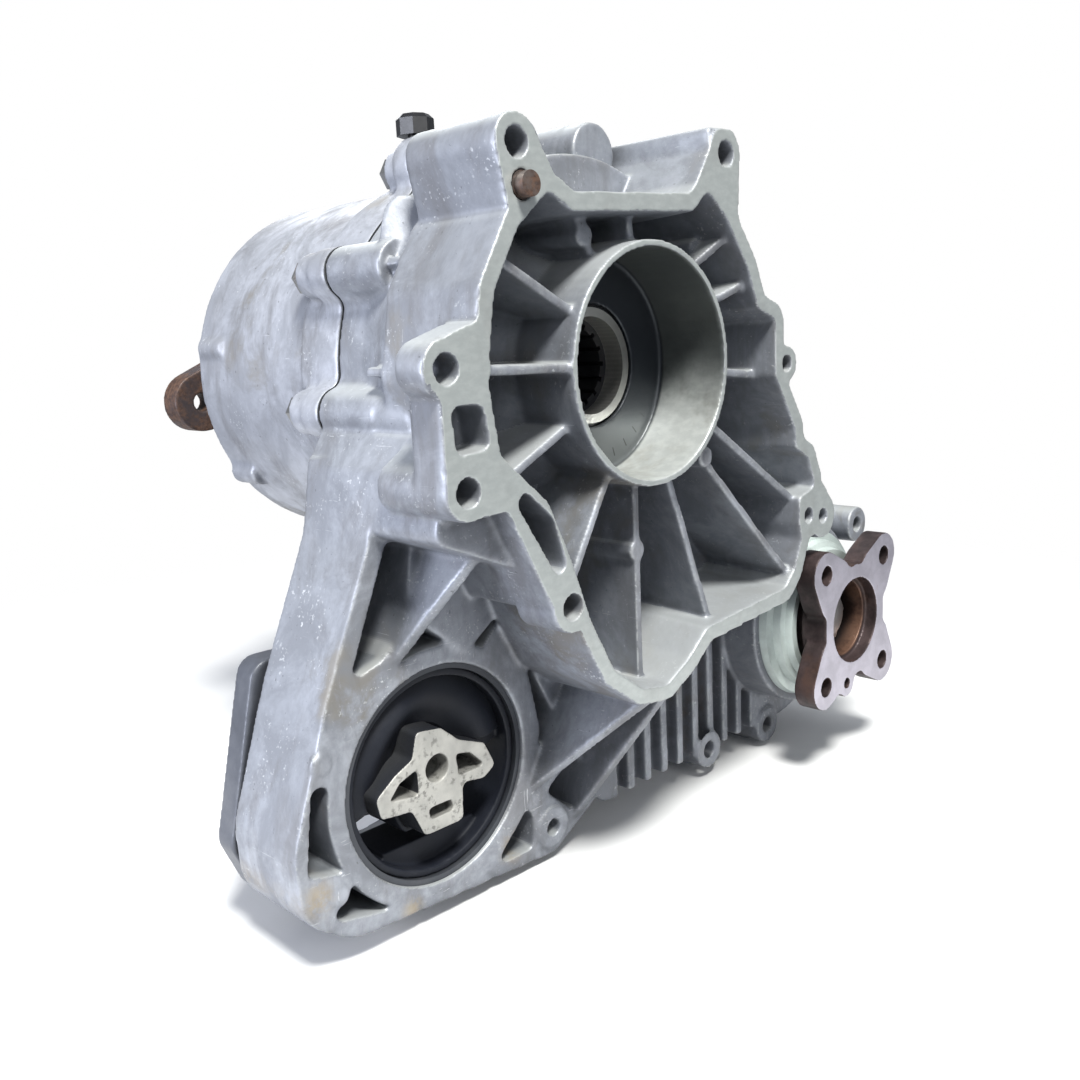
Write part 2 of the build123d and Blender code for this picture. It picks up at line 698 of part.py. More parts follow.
def main_shaft():
    """Hollow shaft from the gearbox splines to the rear flange."""
    nut_seat_y = rear_flange_y + rear_flange_thickness - rear_nut_recess
    shaft = turned([
        (0, nose_bore_depth + shaft_nose_y), (shaft_nose_bore_r, nose_bore_depth + shaft_nose_y),
        (shaft_nose_bore_r, shaft_nose_y), (shaft_nose_r, shaft_nose_y),
        (shaft_nose_r, front_bearing_y - 0.5), (main_seat_r, front_bearing_y - 0.5),
        (main_seat_r, chamber_front_y - 1), (main_seat_r + 3, chamber_front_y - 1),
        (main_seat_r + 3, gear_y - 0.5), (main_shaft_r, gear_y - 0.5),
        (main_shaft_r, rear_bearing_y - 2), (rear_seat_r, rear_bearing_y - 2),
        (rear_seat_r, rear_bearing_y + rear_bearing_width),
        (flange_spline_r, rear_bearing_y + rear_bearing_width),
        (flange_spline_r, nut_seat_y), (thread_r, nut_seat_y),
        (thread_r, nut_seat_y + rear_nut_recess - 2), (0, nut_seat_y + rear_nut_recess - 2),
    ])
    bore_end = nose_bore_depth + shaft_nose_y
    shaft -= disc(0, 0, spline_bore_r, bore_end - 1, bore_end + spline_length)
    for index in range(spline_count):
        angle = index * 360 / spline_count
        groove = Box(4, spline_length, 2.0)
        shaft -= Rot(0, angle, 0) * Pos(spline_bore_r, bore_end + spline_length / 2, 0) * groove
    return shaft


def output_shaft():
    """Front output shaft with its bearing seats and thread."""
    flange_floor = flange_recess_depth
    return turned([
        (0, flange_floor - flange_nut_height - 3), (thread_r, flange_floor - flange_nut_height - 3),
        (thread_r, flange_floor), (output_spline_r, flange_floor),
        (output_spline_r, output_bearing_y), (output_seat_r, output_bearing_y),
        (output_seat_r, output_bearing_end_y), (output_seat_r + 4, output_bearing_end_y),
        (output_seat_r + 4, gear_y + gear_width + 1), (output_rear_seat_r, gear_y + gear_width + 1),
        (output_rear_seat_r, output_rear_bearing_y + output_rear_bearing_width),
        (0, output_rear_bearing_y + output_rear_bearing_width),
    ], output_x, output_z)


def front_output_flange():
    """Flange with four lobes, a pilot bore and a hub inside the seal."""
    lobe_at = flange_pcd / 2
    outline = Circle(flange_web_r)
    for index in range(4):
        angle = 45 + 90 * index
        x, z = polar(lobe_at, angle)
        inner_x, inner_z = polar(lobe_at - 14, angle)
        outline += hull((x, z, flange_lobe_r), (inner_x, inner_z, flange_waist_r))
    lug_x, lug_z = polar(flange_lug_at, flange_lug_angle)
    outline += Pos(lug_x, lug_z) * Circle(flange_lug_r)
    outline = soften(outline, 5)
    flange = slab(Pos(output_x, output_z) * outline, 0, flange_thickness)
    flange += disc(output_x, output_z, flange_hub_r, flange_thickness - 1, output_bearing_y - 0.5)
    flange += disc(output_x, output_z, flange_hub_r + 4, flange_thickness - 1, flange_thickness + 3)
    flange -= disc(output_x, output_z, flange_pilot_r, -1, flange_pilot_depth)
    flange -= disc(output_x, output_z, flange_recess_r, 0, flange_recess_depth)
    flange -= disc(output_x, output_z, output_spline_r + bearing_gap, 0, output_bearing_y)
    for index in range(4):
        x, z = polar(lobe_at, 45 + 90 * index)
        flange -= disc(output_x + x, output_z + z, flange_hole_r, -1, flange_thickness + 1)
    flange -= disc(output_x + lug_x, output_z + lug_z, flange_lug_hole_r, -1, flange_thickness + 1)
    return flange


def rear_output_flange():
    """Flange with three arms for a flexible disc."""
    outline = Circle(rear_center_r)
    holes = []
    for index in range(3):
        x, z = polar(rear_pcd / 2, rear_arm_angle + 120 * index)
        outline += hull((x, z, rear_arm_r), (0, 0, rear_arm_r + 8))
        holes.append((x, z))
    outline = soften(outline, 8)
    y_back = rear_flange_y + rear_flange_thickness
    flange = slab(outline, rear_flange_y, y_back)
    flange += disc(0, 0, rear_hub_r, rear_hub_y, rear_flange_y + 1)
    flange -= disc(0, 0, flange_spline_r + bearing_gap, rear_hub_y - 1, y_back)
    flange -= disc(0, 0, rear_nut_flats / 2 + 4, y_back - rear_nut_recess, y_back + 1)
    for x, z in holes:
        flange -= disc(x, z, rear_hole_r, rear_flange_y - 1, y_back + 1)
    return flange


def rear_cover():
    """Drum-shaped rear casting with the lower gear case cover."""
    end_y = drum_end_y
    head_y = cover_front_y + cover_boss_length
    cover = drum_outside()
    cover += slab(seam_outline(), cover_front_y, cover_front_y + seam_flange_depth)
    cover += slab(case_outline(), cover_front_y, cover_chamber_y)
    cover += [disc(x, z, boss_r, cover_front_y, head_y) for x, z, radius, y_front in seam_screws]
    cover += slab(hull((0, 0, drum_r), (actuator_x, 0, pinion_housing_r)), pinion_housing_y, end_y)
    cover += [disc(x, z, 6.5, end_y - 24, end_y - 2) for x, z in drum_bumps]
    # Hollow of the clutch drum and of the lower gear case
    clear_r = drum_r - wall
    cover -= turned([(0, cover_front_y - 1), (clear_r, cover_front_y - 1), (clear_r, drum_floor_y - 8),
                     (clear_r - 8, drum_floor_y), (0, drum_floor_y)])
    cover -= slab(case_outline(wall), cover_front_y - 1, cover_chamber_y - wall)
    seat = hull((idler_x, idler_z, idler_axle_r + wall), (output_x, output_z, output_rear_bearing_r + wall))
    cover += slab(seat - Circle(clear_r), output_rear_bearing_y, cover_chamber_y - 1)
    # Cast sleeve that carries the fixed ramp ring
    cover += ring(0, 0, reaction_r, reaction_r - reaction_wall, fixed_ramp_y + ramp_ring_thickness,
                  drum_floor_y + 1)
    return cover - (cover_bores() + cover_holes() + actuator_room())


def cover_bores():
    """Seats of the bearings and the axle in the rear cover."""
    seat_y = output_rear_bearing_y - 1
    return [
        disc(output_x, output_z, output_rear_bearing_r, seat_y,
             output_rear_bearing_y + output_rear_bearing_width),
        disc(idler_x, idler_z, idler_axle_r + bearing_gap, seat_y, axle_end_y),
        disc(0, 0, rear_bearing_r, rear_bearing_y, rear_neck_end_y + 1),
        disc(0, 0, rear_seat_r + 5, drum_floor_y - 1, rear_bearing_y + 1),
    ]


def cover_holes():
    """Holes for the seam screws and their heads, the plugs and the breather."""
    head_y = cover_front_y + cover_boss_length
    cuts = []
    for x, z, radius, y_front in seam_screws:
        cuts.append(disc(x, z, screw_r + screw_clearance, cover_front_y - 1, head_y + 1))
        cuts.append(disc(x, z, washer_r + 1, head_y, head_y + 12))
    for x, z in (fill_plug_at, drain_plug_at):
        cuts.append(disc(x, z, plug_thread_r + screw_clearance / 2, cover_chamber_y - wall - 1,
                         cover_chamber_y + 1))
    stem = Cylinder(breather_stem_r + bearing_gap, 12, align=(Align.CENTER, Align.CENTER, Align.MIN))
    cuts.append(Pos(breather_x, breather_y, breather_z - 9) * stem)
    return cuts


def actuator_room():
    """Room for the actuator pinion, its motor and its screws."""
    end_y = drum_end_y
    cuts = [
        disc(actuator_x, 0, pinion_room_r, ramp_y - 4, ramp_y + ramp_ring_thickness + 6),
        disc(actuator_x, 0, actuator_shaft_r + 1, ramp_y, end_y + 1),
        slab(motor_foot(motor_room), end_y, rear_neck_end_y),
    ]
    for z in (motor_screw_z, -motor_screw_z):
        cuts.append(disc(motor_screw_x, z, motor_screw_r + bearing_gap,
                         end_y - motor_screw_depth - 1, end_y + 1))
    return cuts


def drum_outside():
    """The drum, its rounded end, its neck and the ribs behind it."""
    drum = turned([(0, cover_front_y), (drum_r, cover_front_y), (drum_r, drum_end_y), (0, drum_end_y)])
    end_edges = drum.edges().filter_by(GeomType.CIRCLE).sort_by(Axis.Y)[-1]
    drum = fillet(end_edges, drum_round)
    drum += disc(0, 0, rear_neck_r, drum_end_y - 1, rear_neck_end_y)
    for index in range(neck_rib_count):
        side = Polygon((rear_neck_r - 1, drum_end_y - 1), (drum_r - 10, drum_end_y - 1),
                       (rear_neck_r - 1, rear_neck_end_y - 6), align=None)
        plate = extrude(side, amount=rib_thickness / 2, both=True)
        drum += Rot(0, 30 + index * 360 / neck_rib_count, 0) * plate
    return drum


def seam_bead():
    """Bead of sealant pressed between the castings."""
    bead = seam_outline() - case_outline(wall)
    bead = slab(bead, seam_y, cover_front_y)
    for x, z, radius, y_front in seam_screws:
        bead -= disc(x, z, screw_r + screw_clearance, seam_y - 1, cover_front_y + 1)
    return bead


def seam_screw_group():
    """Flanged screws that join the castings, one separate solid each."""
    head_y = cover_front_y + cover_boss_length
    screws = []
    for x, z, radius, y_front in seam_screws:
        screw = disc(x, z, screw_r, head_y - screw_length, head_y + 1)
        screw += disc(x, z, washer_r, head_y, head_y + 1.5)
        hexagon = Pos(x, z) * RegularPolygon(screw_head_r, 6, major_radius=False)
        screw += slab(hexagon, head_y + 1, head_y + screw_head_height)
        screws.append(screw)
    return screws


def clutch_basket():
    """Cup that turns with the drive gear and carries the steel discs."""
    inner_r = main_shaft_r + needle_thickness + 2
    basket = ring(0, 0, gear_pitch_r - gear_rim - 4, inner_r, gear_y + gear_width, basket_y + 1)
    basket += ring(0, 0, basket_r, inner_r, basket_y, basket_y + basket_wall)
    basket += ring(0, 0, basket_r, basket_r - basket_wall, basket_y, stack_end_y + 1)
    return basket


def clutch_hub():
    """Hub that turns with the main shaft and carries the friction discs."""
    front = basket_y + basket_wall + 1
    hub = ring(0, 0, hub_r, main_shaft_r + bearing_gap, front, front + 6)
    hub += ring(0, 0, hub_r, hub_r - 6, front, stack_end_y)
    hub += ring(0, 0, main_shaft_r + 6, main_shaft_r + bearing_gap, front, stack_end_y - 6)
    return hub


def clutch_discs(first, inner_r, outer_r):
    """Every second disc of the clutch pack, one separate solid each."""
    pitch = 2 * (disc_thickness + disc_gap)
    start = stack_y + first * (disc_thickness + disc_gap)
    discs = []
    for index in range(friction_count):
        y_front = start + index * pitch
        discs.append(ring(0, 0, outer_r, inner_r, y_front, y_front + disc_thickness))
    return discs


def ramp_ring():
    """Turning ring of the ball ramp, with the toothed sector that drives it."""
    inner_r = main_shaft_r + 6
    ring_face = Circle(ramp_ring_r - 8) - Circle(inner_r)
    pitch = 360 / sector_teeth
    sector_r = actuator_module * sector_teeth / 2
    root_r = sector_r - 1.25 * actuator_module
    count = int(sector_arc / pitch)
    half_span = count * pitch / 2
    arc = CenterArc((0, 0), root_r, -half_span, 2 * half_span)
    wedge = make_face(Wire([arc, Line(arc @ 1, (0, 0)), Line((0, 0), arc @ 0)]))
    ring_face += wedge - Circle(inner_r)
    for index in range(count):
        angle = -half_span + (index + 0.5) * pitch
        ring_face += Rot(0, 0, angle) * small_tooth(sector_r, sector_teeth)
    return slab(ring_face, ramp_y, ramp_y + ramp_ring_thickness)


def small_tooth(pitch_r, teeth):
    """One straight-sided tooth of the actuator drive, pointing along X."""
    root_half = 0.62 * pi * actuator_module / 2
    tip_half = 0.26 * pi * actuator_module / 2
    low = pitch_r - 1.25 * actuator_module - 0.5
    high = pitch_r + 0.9 * actuator_module
    return Polygon((low, -root_half), (high, -tip_half), (high, tip_half), (low, root_half), align=None)


def actuator_shaft():
    """Motor shaft with the pinion that turns the ramp ring."""
    pitch_r = actuator_module * pinion_teeth / 2
    face = Circle(pitch_r - 1.25 * actuator_module)
    for index in range(pinion_teeth):
        angle = 180 + index * 360 / pinion_teeth
        face += Rot(0, 0, angle) * small_tooth(pitch_r, pinion_teeth)
    shaft = slab(Pos(actuator_x, 0) * face, ramp_y - plate_travel - 0.5, ramp_y + ramp_ring_thickness + 1)
    shaft += disc(actuator_x, 0, actuator_shaft_r, ramp_y, drum_end_y + motor_length - 12)
    return shaft


def motor_foot(margin):
    """Outline of the motor's foot with its two screw eyes."""
    eye = motor_eye_r + margin
    return hull((actuator_x, 0, motor_r + margin),
                (motor_screw_x, motor_screw_z, eye), (motor_screw_x, -motor_screw_z, eye))


def actuator_motor():
    """Motor can, its flange and its plug socket."""
    motor = disc(actuator_x, 0, motor_r, drum_end_y + 5, drum_end_y + motor_length)
    motor += slab(motor_foot(0), drum_end_y, drum_end_y + 6)
    motor = chamfer(motor.faces().sort_by(Axis.Y)[-1].edges(), 2)
    motor -= disc(actuator_x, 0, actuator_shaft_r + 0.4, drum_end_y - 1, drum_end_y + motor_length - 10)
    corners = [(motor_r - 3, -9), (motor_r + 14, -9), (motor_r + 14, 9), (motor_r - 3, 9)]
    socket = slab(rounded(corners, 2.5), drum_end_y + 14, drum_end_y + 30)
    socket -= slab(Pos(motor_r + 6, 0) * Rectangle(10, 11), drum_end_y + 18, drum_end_y + 31)
    motor += Pos(actuator_x, 0, 0) * socket
    for z in (motor_screw_z, -motor_screw_z):
        motor -= disc(motor_screw_x, z, motor_screw_r + screw_clearance, drum_end_y - 1, drum_end_y + 7)
    return motor


def mount_rubber():
    """Rubber body with two arms, a stop above and one below."""
    inner_r = eye_bore_r - sleeve_thickness
    inside = Pos(eye_x, eye_z) * Circle(inner_r)
    core = rounded(core_corners, core_round)
    face = offset(core, rubber_skin) + [hull(*circles) for circles in rubber_arms]
    for side in (-1, 1):
        stop = Rectangle(rubber_stop_width, 2 * rubber_stop_height)
        face += Pos(eye_x, eye_z + side * inner_r) * stop
    body = slab(face & inside, arm_front_y + rubber_inset, seam_y - rubber_inset)
    body += ring(eye_x, eye_z, inner_r, inner_r - rubber_lining, arm_front_y + 4, seam_y - 4)
    return body - slab(core, arm_front_y - 5, seam_y + 5)


def mount_core():
    """Aluminium core with a bolt hole and three windows."""
    core = slab(rounded(core_corners, core_round), arm_front_y - 2, seam_y + 2)
    for corners in core_windows:
        core -= slab(rounded(corners, core_window_round), arm_front_y - 3, seam_y + 3)
    return core - disc(core_x, core_z, core_hole_r, arm_front_y - 3, seam_y + 3)


def stop_plate():
    """Steel plate behind the mount arm."""
    face = rounded(stop_plate_corners, stop_plate_round) - Pos(eye_x, eye_z) * Circle(eye_bore_r - 4)
    back_y = seam_y + stop_plate_gap + stop_plate_depth
    plate = slab(face, seam_y + stop_plate_gap, back_y)
    plate += [disc(x, z, stop_plate_foot_r, seam_y, back_y - 1) for x, z in stop_screws]
    return plate - [disc(x, z, screw_r + screw_clearance, seam_y - 1, back_y + 1) for x, z in stop_screws]


def dowel_pin():
    """Pin with a thicker root pressed into the rim."""
    pin = disc(dowel_x, dowel_z, dowel_r, -dowel_stand, 1)
    return pin + disc(dowel_x, dowel_z, dowel_root_r, 0, dowel_seat)


def breather_cap():
    """Black cap with flats on the breather of the rear cover."""
    stem = Cylinder(breather_stem_r, 10, align=(Align.CENTER, Align.CENTER, Align.MIN))
    cap = Pos(breather_x, breather_y, breather_z - 8) * stem
    crown = extrude(RegularPolygon(8.5, 8), amount=9)
    crown = chamfer(crown.faces().sort_by(Axis.Z)[-1].edges(), 2)
    return cap + Pos(breather_x, breather_y, breather_z + 1.5) * crown


def plug(x, z):
    """Threaded plug with a hexagon socket."""
    head_y = cover_chamber_y
    body = disc(x, z, plug_head_r, head_y, head_y + 5)
    body += disc(x, z, plug_thread_r, head_y - 12, head_y + 1)
    return body - slab(Pos(x, z) * RegularPolygon(5, 6, major_radius=False), head_y - 1, head_y + 6)


def shielded(name, parts, x, z, y_front, width, inner_r, outer_r):
    """Add the rings and shields of one bearing to the parts."""
    outer, inner, shields = bearing(x, z, y_front, width, inner_r + bearing_gap, outer_r - bearing_gap)
    parts[name + "_outer"] = [outer]
    parts[name + "_inner"] = [inner]
    parts[name + "_shields"] = shields.solids()


def castings(parts):
    """Housing, cover and what closes them."""
    parts["front_housing"] = [front_housing()]
    parts["rear_cover"] = [rear_cover()]
    parts["seam_bead"] = [seam_bead()]
    parts["seam_screws"] = seam_screw_group()
    parts["dowel_pin"] = [dowel_pin()]
    parts["fill_plug"] = [plug(*fill_plug_at)]
    parts["drain_plug"] = [plug(*drain_plug_at)]
    parts["breather_cap"] = [breather_cap()]


def main_line(parts):
    """Main shaft with its seals, bearings and rear flange."""
    parts["main_shaft"] = [main_shaft()]
    seal_front = collar_depth + shoulder_lip
    parts["input_seal"] = [ring(0, 0, main_seal_r - bearing_gap, shaft_nose_r + running_gap,
                                seal_front, front_bearing_y - 1)]
    shielded("front_bearing", parts, 0, 0, front_bearing_y, front_bearing_width, main_seat_r,
             front_bearing_r)
    shielded("rear_bearing", parts, 0, 0, rear_bearing_y, rear_bearing_width, rear_seat_r, rear_bearing_r)
    parts["rear_seal"] = [ring(0, 0, rear_bearing_r - bearing_gap, rear_hub_r + running_gap,
                               rear_neck_end_y - 10, rear_neck_end_y - 1)]
    parts["rear_output_flange"] = [rear_output_flange()]
    nut_y = rear_flange_y + rear_flange_thickness - rear_nut_recess
    parts["rear_flange_nut"] = [hex_nut(0, 0, rear_nut_flats, thread_r + bearing_gap, nut_y,
                                        rear_nut_height)]


def gear_train(parts):
    """Three gears, the idler axle and the front output."""
    half_pitch = 180 / gear_teeth
    drive_bore = main_shaft_r + needle_thickness + 2 * running_gap
    idler_bore = idler_axle_r + needle_thickness + 2 * running_gap
    parts["drive_gear"] = [gear(0, 0, train_angle, drive_bore)]
    parts["idler_gear"] = [gear(idler_x, idler_z, train_angle + half_pitch, idler_bore)]
    parts["driven_gear"] = [gear(output_x, output_z, train_angle, output_seat_r + 4 + bearing_gap)]
    parts["drive_gear_needles"] = [ring(0, 0, main_shaft_r + needle_thickness + running_gap,
                                        main_shaft_r + running_gap, gear_y + 1, gear_y + gear_width - 1)]
    parts["idler_needles"] = [ring(idler_x, idler_z, idler_axle_r + needle_thickness + running_gap,
                                   idler_axle_r + running_gap, gear_y + 1, gear_y + gear_width - 1)]
    parts["idler_axle"] = [disc(idler_x, idler_z, idler_axle_r, chamber_front_y - axle_seat + 0.3,
                                axle_end_y - 0.3)]
    parts["output_shaft"] = [output_shaft()]
    shielded("output_front_bearing", parts, output_x, output_z, output_bearing_y, output_bearing_width,
             output_seat_r, output_bearing_r)
    shielded("output_rear_bearing", parts, output_x, output_z, output_rear_bearing_y,
             output_rear_bearing_width, output_rear_seat_r, output_rear_bearing_r)
    parts["front_seal"] = [ring(output_x, output_z, output_bearing_r - bearing_gap,
                                flange_hub_r + running_gap,
                                output_neck_y + 1, output_bearing_y - 1)]
    parts["seal_carrier"] = [seal_carrier()]
    parts["front_output_flange"] = [front_output_flange()]
    parts["front_flange_nut"] = [hex_nut(output_x, output_z, flange_nut_flats, thread_r + bearing_gap,
                                         flange_recess_depth - flange_nut_height, flange_nut_height)]


def seal_carrier():
    """Stepped cone round the seal of the front output."""
    inner_r = flange_hub_r + 5.5
    points = [
        (inner_r, carrier_front_y), (inner_r + 4, carrier_front_y), (inner_r + 5, carrier_front_y + 4),
        (inner_r + 8, carrier_front_y + 5), (inner_r + 9, carrier_front_y + 9),
        (carrier_r - 1, carrier_front_y + 10),
        (carrier_r, output_neck_y), (inner_r, output_neck_y),
    ]
    return turned(points, output_x, output_z)


def clutch(parts):
    """Multi-plate clutch and the ball ramp that closes it."""
    parts["clutch_basket"] = [clutch_basket()]
    parts["clutch_hub"] = [clutch_hub()]
    parts["friction_discs"] = clutch_discs(0, hub_r + 0.3, basket_r - basket_wall - 5)
    parts["steel_discs"] = clutch_discs(1, hub_r + 4, basket_r - basket_wall - 0.3)
    parts["pressure_plate"] = [ring(0, 0, basket_r - basket_wall - 5, main_shaft_r + 8, plate_y,
                                    plate_y + 8)]
    parts["thrust_bearing"] = [ring(0, 0, ramp_ring_r - 4, main_shaft_r + 14, plate_y + 8, plate_y + 12)]
    parts["ramp_ring"] = [ramp_ring() - ball_track(ramp_y + ramp_ring_thickness)]
    track_r = ramp_track_r
    balls = []
    for index in range(ball_count):
        x, z = polar(track_r, 90 + index * 360 / ball_count)
        middle_y = ramp_y + ramp_ring_thickness + ramp_gap / 2
        balls.append(Pos(x, middle_y, z) * Sphere(ball_r))
    parts["ramp_balls"] = balls
    fixed = ring(0, 0, reaction_r, main_shaft_r + 6, fixed_ramp_y, fixed_ramp_y + ramp_ring_thickness)
    parts["fixed_ramp_ring"] = [fixed - ball_track(fixed_ramp_y)]
    parts["actuator_shaft"] = [actuator_shaft()]
    parts["actuator_motor"] = [actuator_motor()]
    screws = []
    for z in (motor_screw_z, -motor_screw_z):
        screw = disc(motor_screw_x, z, motor_screw_r, drum_end_y - motor_screw_depth, drum_end_y + 7)
        screws.append(screw + disc(motor_screw_x, z, motor_screw_r + 2.5, drum_end_y + 6, drum_end_y + 10))
    parts["actuator_screws"] = screws


def ball_track(face_y):
    """Round groove for the ramp balls in a face."""
    radius = ball_r + ball_play
    depth = ball_r - ramp_gap / 2 + ball_play
    side = -1 if face_y < fixed_ramp_y else 1
    centre = Pos(ramp_track_r, face_y + side * (depth - radius)) * Circle(radius)
    return revolve(Plane.XY * centre, Axis.Y)


def mount(parts):
    """Rubber mount in the eye and the stop plate behind it."""
    parts["mount_sleeve"] = [ring(eye_x, eye_z, eye_bore_r - bearing_gap, eye_bore_r - sleeve_thickness,
                                  arm_front_y + 2, seam_y - 2)]
    parts["mount_rubber"] = [mount_rubber()]
    parts["mount_core"] = [mount_core()]
    parts["stop_plate"] = [stop_plate()]
    screws = []
    for x, z in stop_screws:
        head_y = seam_y + stop_plate_gap + stop_plate_depth
        screw = disc(x, z, screw_r, seam_y - arm_floor + 3, head_y + 1)
        head = RegularPolygon(screw_head_r, 6, major_radius=False)
        screw += slab(Pos(x, z) * head, head_y, head_y + screw_head_height)
        screws.append(screw)
    parts["stop_plate_screws"] = screws


def export(parts):
    """Write one STEP file for each node."""
    os.makedirs("parts", exist_ok=True)
    for name, pieces in parts.items():
        solids = [solid for piece in pieces for solid in piece.solids()]
        shape = solids[0] if len(solids) == 1 else Compound(children=solids)
        export_step(shape, os.path.join("parts", name + ".step"))


all_parts = {}
castings(all_parts)
main_line(all_parts)
gear_train(all_parts)
clutch(all_parts)
mount(all_parts)
export(all_parts)
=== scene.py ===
import json

import bmesh
import bpy
import numpy as np
from mathutils import Matrix, Vector

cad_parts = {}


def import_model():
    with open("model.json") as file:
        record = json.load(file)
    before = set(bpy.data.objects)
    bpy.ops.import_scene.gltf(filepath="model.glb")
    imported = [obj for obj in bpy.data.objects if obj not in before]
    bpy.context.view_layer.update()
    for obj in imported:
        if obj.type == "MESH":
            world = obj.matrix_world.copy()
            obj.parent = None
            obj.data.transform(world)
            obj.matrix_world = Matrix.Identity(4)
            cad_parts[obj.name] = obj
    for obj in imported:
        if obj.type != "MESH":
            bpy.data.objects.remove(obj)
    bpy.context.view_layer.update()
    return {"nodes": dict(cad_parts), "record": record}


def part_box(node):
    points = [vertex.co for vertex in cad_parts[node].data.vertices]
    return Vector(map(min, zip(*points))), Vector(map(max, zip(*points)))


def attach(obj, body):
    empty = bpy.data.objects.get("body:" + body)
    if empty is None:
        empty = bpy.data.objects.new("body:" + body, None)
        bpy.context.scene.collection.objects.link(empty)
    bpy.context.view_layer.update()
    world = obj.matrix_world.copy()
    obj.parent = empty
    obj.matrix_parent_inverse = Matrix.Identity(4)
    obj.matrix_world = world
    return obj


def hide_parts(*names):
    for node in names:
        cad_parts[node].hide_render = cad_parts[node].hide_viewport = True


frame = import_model()
nodes = frame["nodes"]
record = frame["record"]
scene = bpy.context.scene
carrier = {node: body for body, names in record["behaviour"]["bodies"].items() for node in names}

# Places of the transfer case in metres, in the frame of the CAD part. Centres are in X and Z
gearbox_face_y = 0.0
arm_front_y = 0.052
bore_r = 0.047
bore_end_y = 0.036
output_centre = (0.166338, -0.146424)
eye_centre = (-0.085, -0.1645)
core_centre = (-0.0883, -0.1597)
floor_z = -0.2295

# Light: the world's strength and tint, and each lamp's place, aim, size, power and colour
world_light = 0.25
world_tint = (0.84, 0.90, 1.0)
lamps = {
    "key": ((-0.55, -0.80, 1.50), (0.0, 0.05, -0.05), 0.42, 56.0, (1.0, 1.0, 0.965)),
    "front": ((-0.35, -1.55, 0.55), (0.05, 0.05, -0.05), 0.8, 6.0, (0.99, 1.0, 1.0)),
    "left": ((-1.50, 0.40, 0.15), (-0.05, 0.10, -0.05), 0.7, 22.0, (0.84, 0.88, 1.0)),
    "back": ((0.70, 1.20, 0.80), (0.0, 0.1, 0.0), 0.8, 6.0, (0.95, 0.97, 1.0)),
}

# The photograph's camera: focal length and width in pixels, film width, place and turn
photo_focal = 1057.54
photo_width = 1080.0
film_width = 36.0
camera_place = (-0.34365, -0.27656, 0.01681)
camera_turn = (1.6476, -0.7204, 0.5259)


